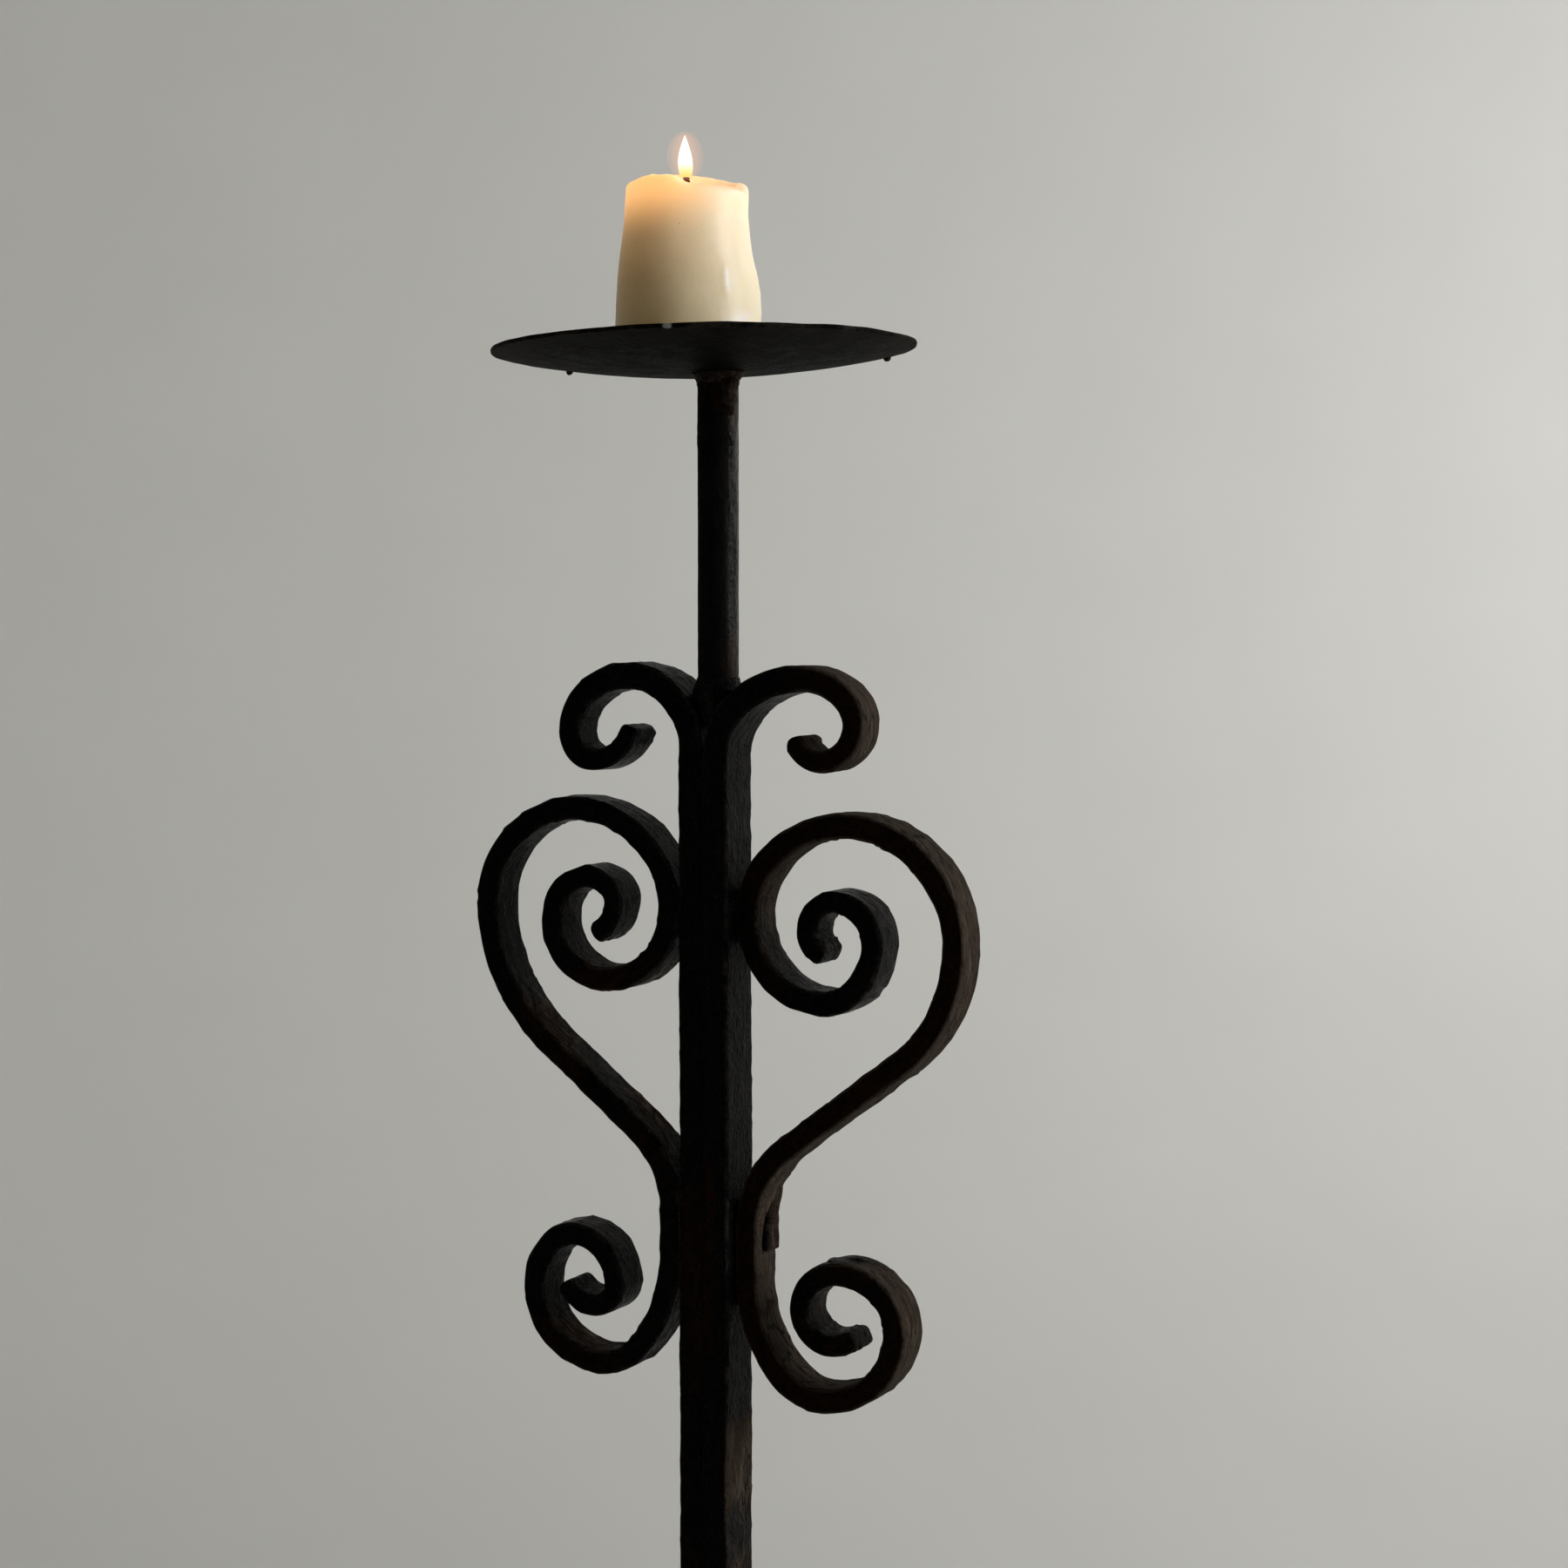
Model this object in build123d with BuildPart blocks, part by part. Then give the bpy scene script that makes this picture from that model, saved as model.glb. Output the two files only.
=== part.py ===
from build123d import *
import os
from math import cos, radians, sin, sqrt

# A free-standing forged-iron holder for one pillar candle.
# Millimetres, +Z up.  The origin is on the floor, on the axis of the upright
# post.  The scrolls lie in the XZ plane and the front of the stand faces -Y.

# ---- driving dimensions ----

BAR = 15.0                   # thickness of each of the two upright bars
POST = 2 * BAR               # the two bars back to back make a square post
POST_BOTTOM = 120.0          # sawn lower end of the post above the floor

FLAT_THICK = 13.2            # flat bar of the side scrolls and the legs
LEG_WIDTH = 24.0
TIP_THICK = 11.4             # the same bar where it is drawn down at a tip
TIP_TAPER = 110.0            # length over which it is drawn down
ARRIS = 1.5                  # worn, rounded long edges
WELD_BEAD = 3.0              # radius of the welds that hold the bars

STEM_DIAMETER = 22.0
STEM_WALL = 2.6
STEM_X = 2.2                 # the stem stands a little right of the post's axis
STEM_FOOT = 853.0
STEM_TOP = 1040.0

PAN_DIAMETER = 227.4
PAN_DEPTH = 12.4
PAN_SHEET = 2.2
PAN_X = -6.0                 # the pan is welded on a little to the left
PAN_LOW_POINT = 1033.0       # underside of the pan at its centre
PAN_TILT = 1.3               # degrees, left side down

CANDLE_X = -16.0
CANDLE_DIAMETER = 78.4       # at its foot
CANDLE_TOP = 1134.0          # mid-height of its top, which has burnt down on a slope
CANDLE_CUT = (-0.17, 0.16)   # rise of the top per mm towards +X and towards +Y
CANDLE_CLEARANCE = 0.3       # between the wax and the pan
WICK_DIAMETER = 3.0
WICK_SHOWS = 8.0             # length of burnt wick above the wax

PAN_SPHERE = (PAN_DIAMETER ** 2 / 4 + PAN_DEPTH ** 2) / (2 * PAN_DEPTH)

os.makedirs("parts", exist_ok=True)


def save(name, part):
    part.label = name
    export_step(part, f"parts/{name}.step")


# ---- a bar bent along straight runs and arcs ----
# A run is (length, 0) for a straight one and (radius, degrees) for an arc,
# positive to the left.  The walk gives a station at each run's start, middle
# and end: x, z, heading in degrees, distance along the bar.

def walk(x, z, heading, runs):
    stations = [(x, z, heading, 0.0)]
    for size, turn in runs:
        for _ in range(2):
            x, z, heading, along = stations[-1]
            if turn == 0:
                step = size / 2
                x += step * cos(radians(heading))
                z += step * sin(radians(heading))
            else:
                side = 1 if turn > 0 else -1
                step = size * radians(abs(turn)) / 2
                after = heading + turn / 2
                x += side * size * (sin(radians(after)) - sin(radians(heading)))
                z -= side * size * (cos(radians(after)) - cos(radians(heading)))
                heading = after
            stations.append((x, z, heading, along + step))
    return stations


def thickness(full, end, to_end, taper):
    drawn = max(1 - to_end / taper, 0)
    return full + (end - full) * drawn


def beside(station, half):
    x, z, heading = station[:3]
    return (x - half * sin(radians(heading)), z + half * cos(radians(heading)))


def rail(stations, halves):
    """One long edge of the bar, run by run."""
    edge = [beside(s, h) for s, h in zip(stations, halves)]
    for i in range(0, len(edge) - 2, 2):
        if abs(stations[i][2] - stations[i + 2][2]) < 0.01:
            Line(edge[i], edge[i + 2])
        else:
            ThreePointArc(edge[i], edge[i + 1], edge[i + 2])


def tip(station, half):
    x, z, heading = station[:3]
    end = (x + half * cos(radians(heading)), z + half * sin(radians(heading)))
    ThreePointArc(beside(station, half), end, beside(station, -half))


def mirrored(stations, mirror):
    if mirror > 0:
        return stations
    return [(-x, z, 180 - heading, along) for x, z, heading, along in stations]


def bar_edges(stations, full, end, square=False):
    """Both long edges and the far end of a bar drawn down towards its tip."""
    length = stations[-1][3]
    taper = min(TIP_TAPER, length)
    halves = [thickness(full, end, length - s[3], taper) / 2 for s in stations]
    rail(stations, halves)
    rail(stations, [-h for h in halves])
    if square:
        Line(beside(stations[-1], halves[-1]), beside(stations[-1], -halves[-1]))
    else:
        tip(stations[-1], halves[-1])


# ---- the two uprights, each forged over into a small scroll ----
# Above the post each bar curls outward, and it is drawn down from the full
# bar to a narrower, thinner one.

UPRIGHT_TIP = 11.0
SCROLL_WIDTH = 22.0
NARROW_FROM = BAR
NARROW_TO = 62.0

UPRIGHT_SCROLLS = {
    "left": (834, [(35, -45), (44, -45), (41, -45), (27, -45), (15, -90), (25, -68)]),
    "right": (828, [(39, -45), (52, -45), (37, -45), (18, -45), (20, -90), (14, -72)]),
}

uprights = {}
for side, (scroll_start, curl) in UPRIGHT_SCROLLS.items():
    mirror = 1 if side == "right" else -1
    path = walk(BAR / 2, POST_BOTTOM, 90, [(scroll_start - POST_BOTTOM, 0)] + curl)
    path = mirrored(path, mirror)
    reach = mirror * PAN_DIAMETER
    with BuildPart() as upright:
        with BuildSketch(Plane.XZ.offset(-POST / 2)):
            with BuildLine():
                bar_edges(path, BAR, UPRIGHT_TIP)
                Line((0, POST_BOTTOM), (mirror * BAR, POST_BOTTOM))
            make_face()
        extrude(amount=POST)
        with BuildSketch(Plane.XY.offset(POST_BOTTOM - 1)):
            with BuildLine():
                Polyline(
                    (0, POST / 2),
                    (mirror * NARROW_FROM, POST / 2),
                    (mirror * NARROW_TO, SCROLL_WIDTH / 2),
                    (reach, SCROLL_WIDTH / 2),
                    (reach, -SCROLL_WIDTH / 2),
                    (mirror * NARROW_TO, -SCROLL_WIDTH / 2),
                    (mirror * NARROW_FROM, -POST / 2),
                    (0, -POST / 2),
                    close=True,
                )
            make_face()
        extrude(amount=CANDLE_TOP, mode=Mode.INTERSECT)
        faces = upright.faces().sort_by(Axis.Y)
        long_edges = faces[0].edges() + faces[-1].edges()
        chamfer(long_edges.filter_by(lambda e: abs(e.center().X) > ARRIS), ARRIS)
    uprights[side] = upright.part
    save(f"{side}_upright", upright.part)


# ---- the side scrolls: one S-shaped bar welded to each side of the post ----
# Each starts at the straight stretch that lies on the post.  Upwards it
# swings out, comes back over to touch the post and winds into a large spiral;
# downwards it winds into a small one.  The two were bent by hand and differ.

SIDE_X = BAR + FLAT_THICK / 2

SIDE_SCROLLS = {
    "left": {
        "weld_height": 581.3,
        "front": 13.5,
        "width": 24.0,
        "up": [(53, -52), (74.5, 0), (101, 32), (81, 20), (56, 45), (59, 45), (61, 45), (52, 45),
               (36, 45), (45, 45), (33, 45), (30, 45), (26, 45), (23, 45), (16, 45), (13, 45),
               (18, 62)],
        "down": [(24, 0), (79, 45), (32, 45), (44, 45), (35, 45), (37, 45), (21, 45), (26, 45),
                 (27, 45), (10, 45), (16, 45), (22, 50)],
    },
    "right": {
        "weld_height": 573,
        "front": 6.0,
        "width": 24.0,
        "up": [(58, -53), (82.5, 0), (79, 37), (82, 16), (59, 45), (64, 45), (63, 45), (45, 45),
               (45, 45), (43, 45), (28, 45), (35, 45), (22, 45), (21, 45), (17, 45), (17, 45),
               (12, 65)],
        "down": [(28, 0), (71, 45), (32, 45), (46, 45), (39, 45), (26, 45), (34, 45), (26, 45),
                 (19.5, 45), (17.5, 45), (17, 45), (26, 27)],
    },
}

side_scrolls = {}
loop_height = {}             # where each large spiral comes back to touch the post
for side, scroll in SIDE_SCROLLS.items():
    mirror = 1 if side == "right" else -1
    up = walk(SIDE_X, scroll["weld_height"], 90, scroll["up"])
    down = walk(SIDE_X, scroll["weld_height"], -90, scroll["down"])
    with BuildPart() as side_scroll:
        with BuildSketch(Plane.XZ.offset(scroll["front"] - scroll["width"])):
            with BuildLine():
                bar_edges(mirrored(up, mirror), FLAT_THICK, TIP_THICK)
                bar_edges(mirrored(down, mirror), FLAT_THICK, TIP_THICK)
            make_face()
        extrude(amount=scroll["width"])
        faces = side_scroll.faces().sort_by(Axis.Y)
        fillet(faces[0].edges() + faces[-1].edges(), ARRIS)
    side_scrolls[side] = side_scroll.part
    coming_back = [station for station in up if station[2] > 180]
    loop_height[side] = min(coming_back, key=lambda station: station[0])[1]

# The right bar was once folded over and forged down on itself beside the
# post.  The fold never closed: a tongue stands proud of the outer face, with
# a blind slot beside it.

LAP_FOOT = 560.0
LAP_HEIGHT = 34.0
LAP_PROUD = 2.8
LAP_FRONT = -9.8             # the tongue's front side, then its back side, in Y
LAP_BACK = -15.2
SLOT_WIDTH = 9.0
SLOT_HEIGHT = 28.0
SLOT_DEPTH = 5.5
OUTER_FACE = BAR + FLAT_THICK

with BuildPart() as lapped_scroll:
    add(side_scrolls["right"])
    with BuildSketch(Plane.XZ.offset(LAP_BACK)):
        with BuildLine():
            Polyline(
                (SIDE_X, LAP_FOOT),
                (OUTER_FACE + LAP_PROUD, LAP_FOOT),
                (OUTER_FACE + LAP_PROUD, LAP_FOOT + LAP_HEIGHT * 0.6),
                (OUTER_FACE + 2 * LAP_PROUD, LAP_FOOT + LAP_HEIGHT),
                (SIDE_X + FLAT_THICK / 4, LAP_FOOT + LAP_HEIGHT),
                close=True,
            )
        make_face()
    extrude(amount=LAP_FRONT - LAP_BACK)
    with BuildSketch(Plane.YZ.offset(OUTER_FACE - SLOT_DEPTH)):
        with BuildLine():
            Polyline(
                (-LAP_FRONT, LAP_FOOT),
                (-LAP_FRONT, LAP_FOOT + SLOT_HEIGHT),
                (-LAP_FRONT - SLOT_WIDTH * 0.6, LAP_FOOT + SLOT_HEIGHT * 0.75),
                (-LAP_FRONT - SLOT_WIDTH, LAP_FOOT + SLOT_HEIGHT * 0.25),
                (-LAP_FRONT - SLOT_WIDTH, LAP_FOOT),
                close=True,
            )
        make_face()
    extrude(amount=3 * SLOT_DEPTH, mode=Mode.SUBTRACT)
side_scrolls["right"] = lapped_scroll.part

for side, bar in side_scrolls.items():
    save(f"{side}_s_scroll", bar)


# ---- the stem: a tube coped over the notch between the small scrolls ----

with BuildPart() as stem:
    with BuildSketch(Plane.XY.offset(STEM_FOOT)):
        with Locations((STEM_X, 0)):
            Circle(STEM_DIAMETER / 2)
            Circle(STEM_DIAMETER / 2 - STEM_WALL, mode=Mode.SUBTRACT)
    extrude(amount=STEM_TOP - STEM_FOOT)
    for bar in uprights.values():
        add(bar, mode=Mode.SUBTRACT)


# ---- the drip pan: a shallow round dish of even curve, slightly out of level ----

pan_up = (-sin(radians(PAN_TILT)), 0, cos(radians(PAN_TILT)))
pan_plane = Plane(origin=(PAN_X, 0, PAN_LOW_POINT), x_dir=(0, 1, 0), z_dir=pan_up)
pan_section = Plane(
    origin=pan_plane.origin, x_dir=pan_plane.x_dir, z_dir=-pan_plane.y_dir
)
pan_centre = pan_plane.origin + pan_plane.z_dir * PAN_SPHERE
pan_edge = PAN_DIAMETER / 2
hollow_sphere = PAN_SPHERE - PAN_SHEET
inner_edge = pan_edge * hollow_sphere / PAN_SPHERE


def dish(radius, reach):
    """A point on a sphere about the pan's centre, in the pan's own section."""
    return (reach, PAN_SPHERE - sqrt(radius ** 2 - reach ** 2))


with BuildPart() as pan:
    with BuildSketch(pan_section):
        with BuildLine():
            underside = [dish(PAN_SPHERE, share * pan_edge) for share in (0, 0.5, 1)]
            inside = [dish(hollow_sphere, share * inner_edge) for share in (1, 0.5, 0)]
            ThreePointArc(*underside)
            Line(underside[-1], inside[0])
            ThreePointArc(*inside)
            Line(inside[-1], underside[0])
        make_face()
    revolve(axis=Axis(pan_plane.origin, pan_plane.z_dir))
save("drip_pan", pan.part)

# The stem's top is cut to the underside of the pan.
with BuildPart() as coped_stem:
    add(stem.part)
    with Locations(pan_centre):
        Sphere(PAN_SPHERE, mode=Mode.SUBTRACT)
save("stem_tube", coped_stem.part)


# ---- welds at the stem's foot and under the pan ----
# The foot weld is heaped round the stem and fills the notch below it.

FOOT_WELD = [(10.0, 845.0), (12.5, 852.0), (13.8, 864.0), (STEM_DIAMETER / 2, 872.0)]
PAN_COLLAR = 14.5
PAN_COLLAR_HEIGHT = 8.0
PAN_COLLAR_HOLLOW = (12.4, 5.0)
WELD_LUMPS = [(1026, 5.0), (1019, 4.5), (1013, 3.5)]
LUMP_BEARING = 60            # degrees from the front, towards the right

stem_section = Plane(origin=(STEM_X, 0, 0), x_dir=(1, 0, 0), z_dir=(0, -1, 0))
stem_axis = Axis((STEM_X, 0, 0), (0, 0, 1))
stem_edge = STEM_DIAMETER / 2
stem_length = STEM_TOP - STEM_FOOT
stem_middle = (STEM_X, 0, STEM_FOOT + stem_length / 2)

with BuildPart() as stem_foot_weld:
    with BuildSketch(stem_section):
        with BuildLine():
            Polyline((0, FOOT_WELD[0][1]), *FOOT_WELD, (0, FOOT_WELD[-1][1]), close=True)
        make_face()
    revolve(axis=stem_axis)
    with Locations(stem_middle):
        Cylinder(stem_edge, stem_length, mode=Mode.SUBTRACT)
    for bar in uprights.values():
        add(bar, mode=Mode.SUBTRACT)
save("stem_foot_weld", stem_foot_weld.part)

with BuildPart() as pan_weld:
    with BuildSketch(stem_section):
        collar_foot = PAN_LOW_POINT - PAN_COLLAR_HEIGHT
        hollow = (PAN_COLLAR_HOLLOW[0], collar_foot + PAN_COLLAR_HOLLOW[1])
        with BuildLine():
            ThreePointArc((stem_edge, collar_foot), hollow, (PAN_COLLAR, PAN_LOW_POINT))
            Polyline(
                (PAN_COLLAR, PAN_LOW_POINT),
                (PAN_COLLAR, STEM_TOP),
                (stem_edge, STEM_TOP),
                (stem_edge, collar_foot),
            )
        make_face()
    revolve(axis=stem_axis)
    bearing = radians(LUMP_BEARING)
    for height, radius in WELD_LUMPS:
        with Locations((STEM_X + stem_edge * sin(bearing), -stem_edge * cos(bearing), height)):
            Sphere(radius)
    with Locations(stem_middle):
        Cylinder(stem_edge, stem_length, mode=Mode.SUBTRACT)
    with Locations(pan_centre):
        Sphere(PAN_SPHERE, mode=Mode.SUBTRACT)
save("pan_weld", pan_weld.part)


# ---- two hardened drips hanging under the pan near its rim ----

DRIPS = [(-87.0, 4.3, 1.9), (69.7, 81.3, 2.3)]   # across and deep from the pan's middle

with BuildPart() as pan_drips:
    for across, deep, radius in DRIPS:
        off = Vector(PAN_X + across, deep, 0) - Vector(pan_centre.X, pan_centre.Y, 0)
        sag = sqrt(PAN_SPHERE ** 2 - off.length ** 2)
        with Locations(pan_centre + off - Vector(0, 0, sag)):
            Sphere(radius)
    with Locations(pan_centre):
        Sphere(PAN_SPHERE, mode=Mode.SUBTRACT)
save("pan_drips", pan_drips.part)


# ---- the candle: a slightly flared pillar, burnt down on a slope ----
# Its foot has settled to the curve of the pan, and a shallow well is melted
# into its top, square to the slope.

CANDLE_FOOT = PAN_LOW_POINT - 1
CANDLE_SIDE = [(1060, 39.0), (1084, 37.8), (1107, 34.8), (1129, 33.1), (1146, 32.4)]
RIM_ROUND = 3.0
WELL_RADIUS = 25.0
WELL_DEPTH = 2.0
WICK_EMBEDDED = 92.0

cut_middle = Vector(CANDLE_X, 0, CANDLE_TOP)
cut_normal = Vector(-CANDLE_CUT[0], -CANDLE_CUT[1], 1).normalized()
well_ball = (WELL_RADIUS ** 2 + WELL_DEPTH ** 2) / (2 * WELL_DEPTH)
well_floor = CANDLE_TOP - WELL_DEPTH
wick_foot = well_floor - WICK_EMBEDDED
wick_length = WICK_EMBEDDED + WICK_SHOWS

with BuildPart() as wick:
    with BuildSketch(Plane.XY.offset(wick_foot)):
        with Locations((CANDLE_X, 0)):
            Circle(WICK_DIAMETER / 2)
    extrude(amount=wick_length)
    fillet(wick.edges().sort_by(Axis.Z)[-1], WICK_DIAMETER / 4)
save("wick", wick.part)

candle_section = Plane(origin=(CANDLE_X, 0, 0), x_dir=(1, 0, 0), z_dir=(0, -1, 0))
side_points = [(CANDLE_DIAMETER / 2, CANDLE_FOOT)] + [(r, z) for z, r in CANDLE_SIDE]
with BuildPart() as candle:
    with BuildSketch(candle_section):
        with BuildLine():
            Spline(*side_points)
            Polyline(
                side_points[-1],
                (0, side_points[-1][1]),
                (0, CANDLE_FOOT),
                side_points[0],
            )
        make_face()
    revolve(axis=Axis((CANDLE_X, 0, 0), (0, 0, 1)))
    split(bisect_by=Plane(origin=cut_middle, z_dir=cut_normal), keep=Keep.BOTTOM)
    cut = candle.faces().sort_by(Axis((CANDLE_X, 0, 0), cut_normal))[-1]
    fillet(cut.edges(), RIM_ROUND)
    with Locations(cut_middle + cut_normal * (well_ball - WELL_DEPTH)):
        Sphere(well_ball, mode=Mode.SUBTRACT)
    with Locations(pan_centre):
        Sphere(hollow_sphere - CANDLE_CLEARANCE, mode=Mode.INTERSECT)
    with Locations((CANDLE_X, 0, wick_foot + wick_length / 2)):
        Cylinder(WICK_DIAMETER / 2, wick_length, mode=Mode.SUBTRACT)
save("candle_wax", candle.part)


# ---- welds that hold the side scrolls: four short beads a side ----
# Each fills the crevice where the bar curves away from the post.

CREVICE = 11.0               # from a point of contact to the bead beside it
BEAD_INSET = 2.5             # each bead stops short of the bar's edges
BEAD_OUT = 0.8               # its middle is this far off the face of the post

for side, scroll in SIDE_SCROLLS.items():
    mirror = 1 if side == "right" else -1
    straight = scroll["down"][0][0]
    heights = [
        loop_height[side] + CREVICE,
        loop_height[side] - CREVICE,
        scroll["weld_height"] + CREVICE,
        scroll["weld_height"] - straight - CREVICE,
    ]
    front = scroll["front"] - BEAD_INSET
    back = max(scroll["front"] - scroll["width"], -POST / 2) + BEAD_INSET
    with BuildPart() as beads:
        with BuildSketch(Plane.XZ.offset(back)):
            with Locations([(mirror * (BAR + BEAD_OUT), height) for height in heights]):
                Circle(WELD_BEAD)
        extrude(amount=front - back)
        add(side_scrolls[side], mode=Mode.SUBTRACT)
        add(uprights[side], mode=Mode.SUBTRACT)
    save(f"{side}_scroll_welds", beads.part)


# ---- stitches down the back of the seam between the uprights ----

STITCHES = [260, 430, 650, 800]
STITCH_LENGTH = 26.0

with BuildPart() as seam_welds:
    for height in STITCHES:
        with BuildSketch(Plane.XY.offset(height)):
            with Locations((0, POST / 2)):
                Circle(WELD_BEAD)
        extrude(amount=STITCH_LENGTH)
    for bar in uprights.values():
        add(bar, mode=Mode.SUBTRACT)
save("seam_welds", seam_welds.part)


# ---- four scrolled legs, one welded to each face of the post ----
# Each is walked from the point where its foot meets the floor, outwards into
# the curled toe and inwards up the slope to the post.

LEG_REACH = 170.0
FOOT_FLAT = 0.8              # ground off under each foot so that the stand sits level
LEG_SLOPE = 28.0             # degrees above level
LEG_WELDED = 75.0            # straight length against the post
HEEL = (24, -78)
INSTEP = (60, 50)
TOE = [(24, 90), (17, 90), (11, 75)]
LEG_BEND = 70

foot_height = FLAT_THICK / 2 - FOOT_FLAT
heel = walk(LEG_REACH, foot_height, 180, [HEEL, INSTEP])[-1]
bend_reach = LEG_BEND * (1 - sin(radians(LEG_SLOPE)))
slope_length = (heel[0] - bend_reach - SIDE_X) / cos(radians(LEG_SLOPE))
inward = walk(LEG_REACH, foot_height, 180,
              [HEEL, INSTEP, (slope_length, 0), (LEG_BEND, LEG_SLOPE - 90), (LEG_WELDED, 0)])
outward = walk(LEG_REACH, foot_height, 0, TOE)
leg_top = inward[-1][1]

LEG_BEARINGS = {"right": 0, "back": 90, "left": 180, "front": 270}

legs = []
leg_planes = []
for name, bearing in LEG_BEARINGS.items():
    outwards = (cos(radians(bearing)), sin(radians(bearing)), 0)
    across = (sin(radians(bearing)), -cos(radians(bearing)), 0)
    leg_plane = Plane(origin=(0, 0, 0), x_dir=outwards, z_dir=across)
    with BuildPart() as leg:
        with BuildSketch(leg_plane.offset(-LEG_WIDTH / 2)):
            with BuildLine():
                bar_edges(inward, FLAT_THICK, FLAT_THICK, square=True)
                bar_edges(outward, FLAT_THICK, TIP_THICK)
            make_face()
        extrude(amount=LEG_WIDTH)
        side_faces = leg.faces().sort_by(SortBy.AREA)[-2:]
        fillet(side_faces.edges(), ARRIS)
        split(bisect_by=Plane.XY, keep=Keep.TOP)
    legs.append(leg.part)
    leg_planes.append(leg_plane)
    save(f"{name}_leg", leg.part)

bead_reach = POST / 2 + BEAD_OUT
with BuildPart() as leg_welds:
    for leg_plane in leg_planes:
        with BuildSketch(leg_plane.offset(BEAD_INSET - LEG_WIDTH / 2)):
            with Locations((bead_reach, leg_top), (bead_reach, leg_top - LEG_WELDED - CREVICE)):
                Circle(WELD_BEAD)
        extrude(amount=LEG_WIDTH - 2 * BEAD_INSET)
    for bar in legs + list(uprights.values()):
        add(bar, mode=Mode.SUBTRACT)
save("leg_welds", leg_welds.part)
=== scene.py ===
import math

import bpy
import numpy as np
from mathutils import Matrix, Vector, noise


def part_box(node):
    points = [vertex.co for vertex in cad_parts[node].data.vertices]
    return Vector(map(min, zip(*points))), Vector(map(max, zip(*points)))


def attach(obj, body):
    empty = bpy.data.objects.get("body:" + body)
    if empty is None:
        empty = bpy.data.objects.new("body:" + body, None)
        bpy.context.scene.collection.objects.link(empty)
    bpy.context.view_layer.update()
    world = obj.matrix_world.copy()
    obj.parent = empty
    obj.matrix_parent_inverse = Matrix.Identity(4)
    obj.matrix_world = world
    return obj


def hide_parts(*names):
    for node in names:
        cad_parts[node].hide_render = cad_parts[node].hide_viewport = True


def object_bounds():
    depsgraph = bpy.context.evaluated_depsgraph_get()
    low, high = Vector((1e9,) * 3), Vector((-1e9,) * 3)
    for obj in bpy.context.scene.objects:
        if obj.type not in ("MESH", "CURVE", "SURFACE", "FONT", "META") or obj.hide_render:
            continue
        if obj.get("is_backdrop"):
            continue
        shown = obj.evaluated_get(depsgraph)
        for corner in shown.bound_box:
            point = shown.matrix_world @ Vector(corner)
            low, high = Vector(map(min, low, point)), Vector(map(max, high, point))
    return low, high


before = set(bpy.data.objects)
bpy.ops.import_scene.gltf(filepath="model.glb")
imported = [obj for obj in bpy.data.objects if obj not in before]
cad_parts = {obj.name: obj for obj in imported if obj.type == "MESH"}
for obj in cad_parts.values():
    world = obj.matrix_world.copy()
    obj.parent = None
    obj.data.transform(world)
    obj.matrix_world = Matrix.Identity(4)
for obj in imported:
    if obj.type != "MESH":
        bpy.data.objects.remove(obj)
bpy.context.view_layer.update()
MM = 0.001
scene = bpy.context.scene
scene.view_settings.view_transform = "Standard"
scene.view_settings.look = "None"


# ---- the camera: a view from the right of the front, level with the upper scrolls ----

VIEW_FROM = math.radians(28.5)
DISTANCE = 1.5
EYE_HEIGHT = 0.902
SENSOR = 36.0
# Half the frame, the focal length, and where the eye's level and the post's axis fall in the frame.
HALF_FRAME, FOCAL = 900, 3200
EYE_LEVEL, POST_AXIS = 711, 820.6
PITCH = math.atan((HALF_FRAME - EYE_LEVEL) / FOCAL)
TURN = math.atan((HALF_FRAME - POST_AXIS) / FOCAL)

camera_data = bpy.data.cameras.new("camera")
camera_data.lens = SENSOR * FOCAL / (2 * HALF_FRAME)
camera_data.sensor_width = SENSOR
camera_data.clip_start = 0.05
camera = bpy.data.objects.new("camera", camera_data)
scene.collection.objects.link(camera)
camera.location = (DISTANCE * math.sin(VIEW_FROM), -DISTANCE * math.cos(VIEW_FROM), EYE_HEIGHT)
camera.rotation_euler = (math.pi / 2 - PITCH, 0, VIEW_FROM - TURN)
scene.camera = camera


# ---- bars bent along straight runs and arcs, as in the CAD, in millimetres ----

STEP = 2.0


def bend(x, z, heading, runs, first_step=STEP):
    """Stations x, z, heading (degrees), distance, close together along the runs."""
    stations = [(x, z, heading, 0.0)]
    for number, (size, turn) in enumerate(runs):
        length = size if turn == 0 else size * math.radians(abs(turn))
        count = max(2, math.ceil(length / (first_step if number == 0 else STEP)))
        for _ in range(count):
            x, z, heading, along = stations[-1]
            if turn == 0:
                x += length / count * math.cos(math.radians(heading))
                z += length / count * math.sin(math.radians(heading))
            else:
                side = 1 if turn > 0 else -1
                after = heading + turn / count
                x += side * size * (math.sin(math.radians(after)) - math.sin(math.radians(heading)))
                z -= side * size * (math.cos(math.radians(after)) - math.cos(math.radians(heading)))
                heading = after
            stations.append((x, z, heading, along + length / count))
    return stations


def through(down, up):
    """One line from the end of down, through its start, to the end of up."""
    total = down[-1][3]
    line = [(x, z, heading + 180, total - along) for x, z, heading, along in reversed(down)]
    line += [(x, z, heading, total + along) for x, z, heading, along in up[1:]]
    return line


def mirrored(stations):
    return [(-x, z, 180 - heading, along) for x, z, heading, along in stations]


def ramp(value, low, high):
    t = np.clip((value - low) / (high - low), 0, 1)
    return t * t * (3 - 2 * t)


def wave(values, period, seed):
    """Smooth noise from -1 to 1 along a line of distances."""
    return np.array([noise.noise(Vector((v / period, seed * 7.31, seed * 1.7))) for v in values])


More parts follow.
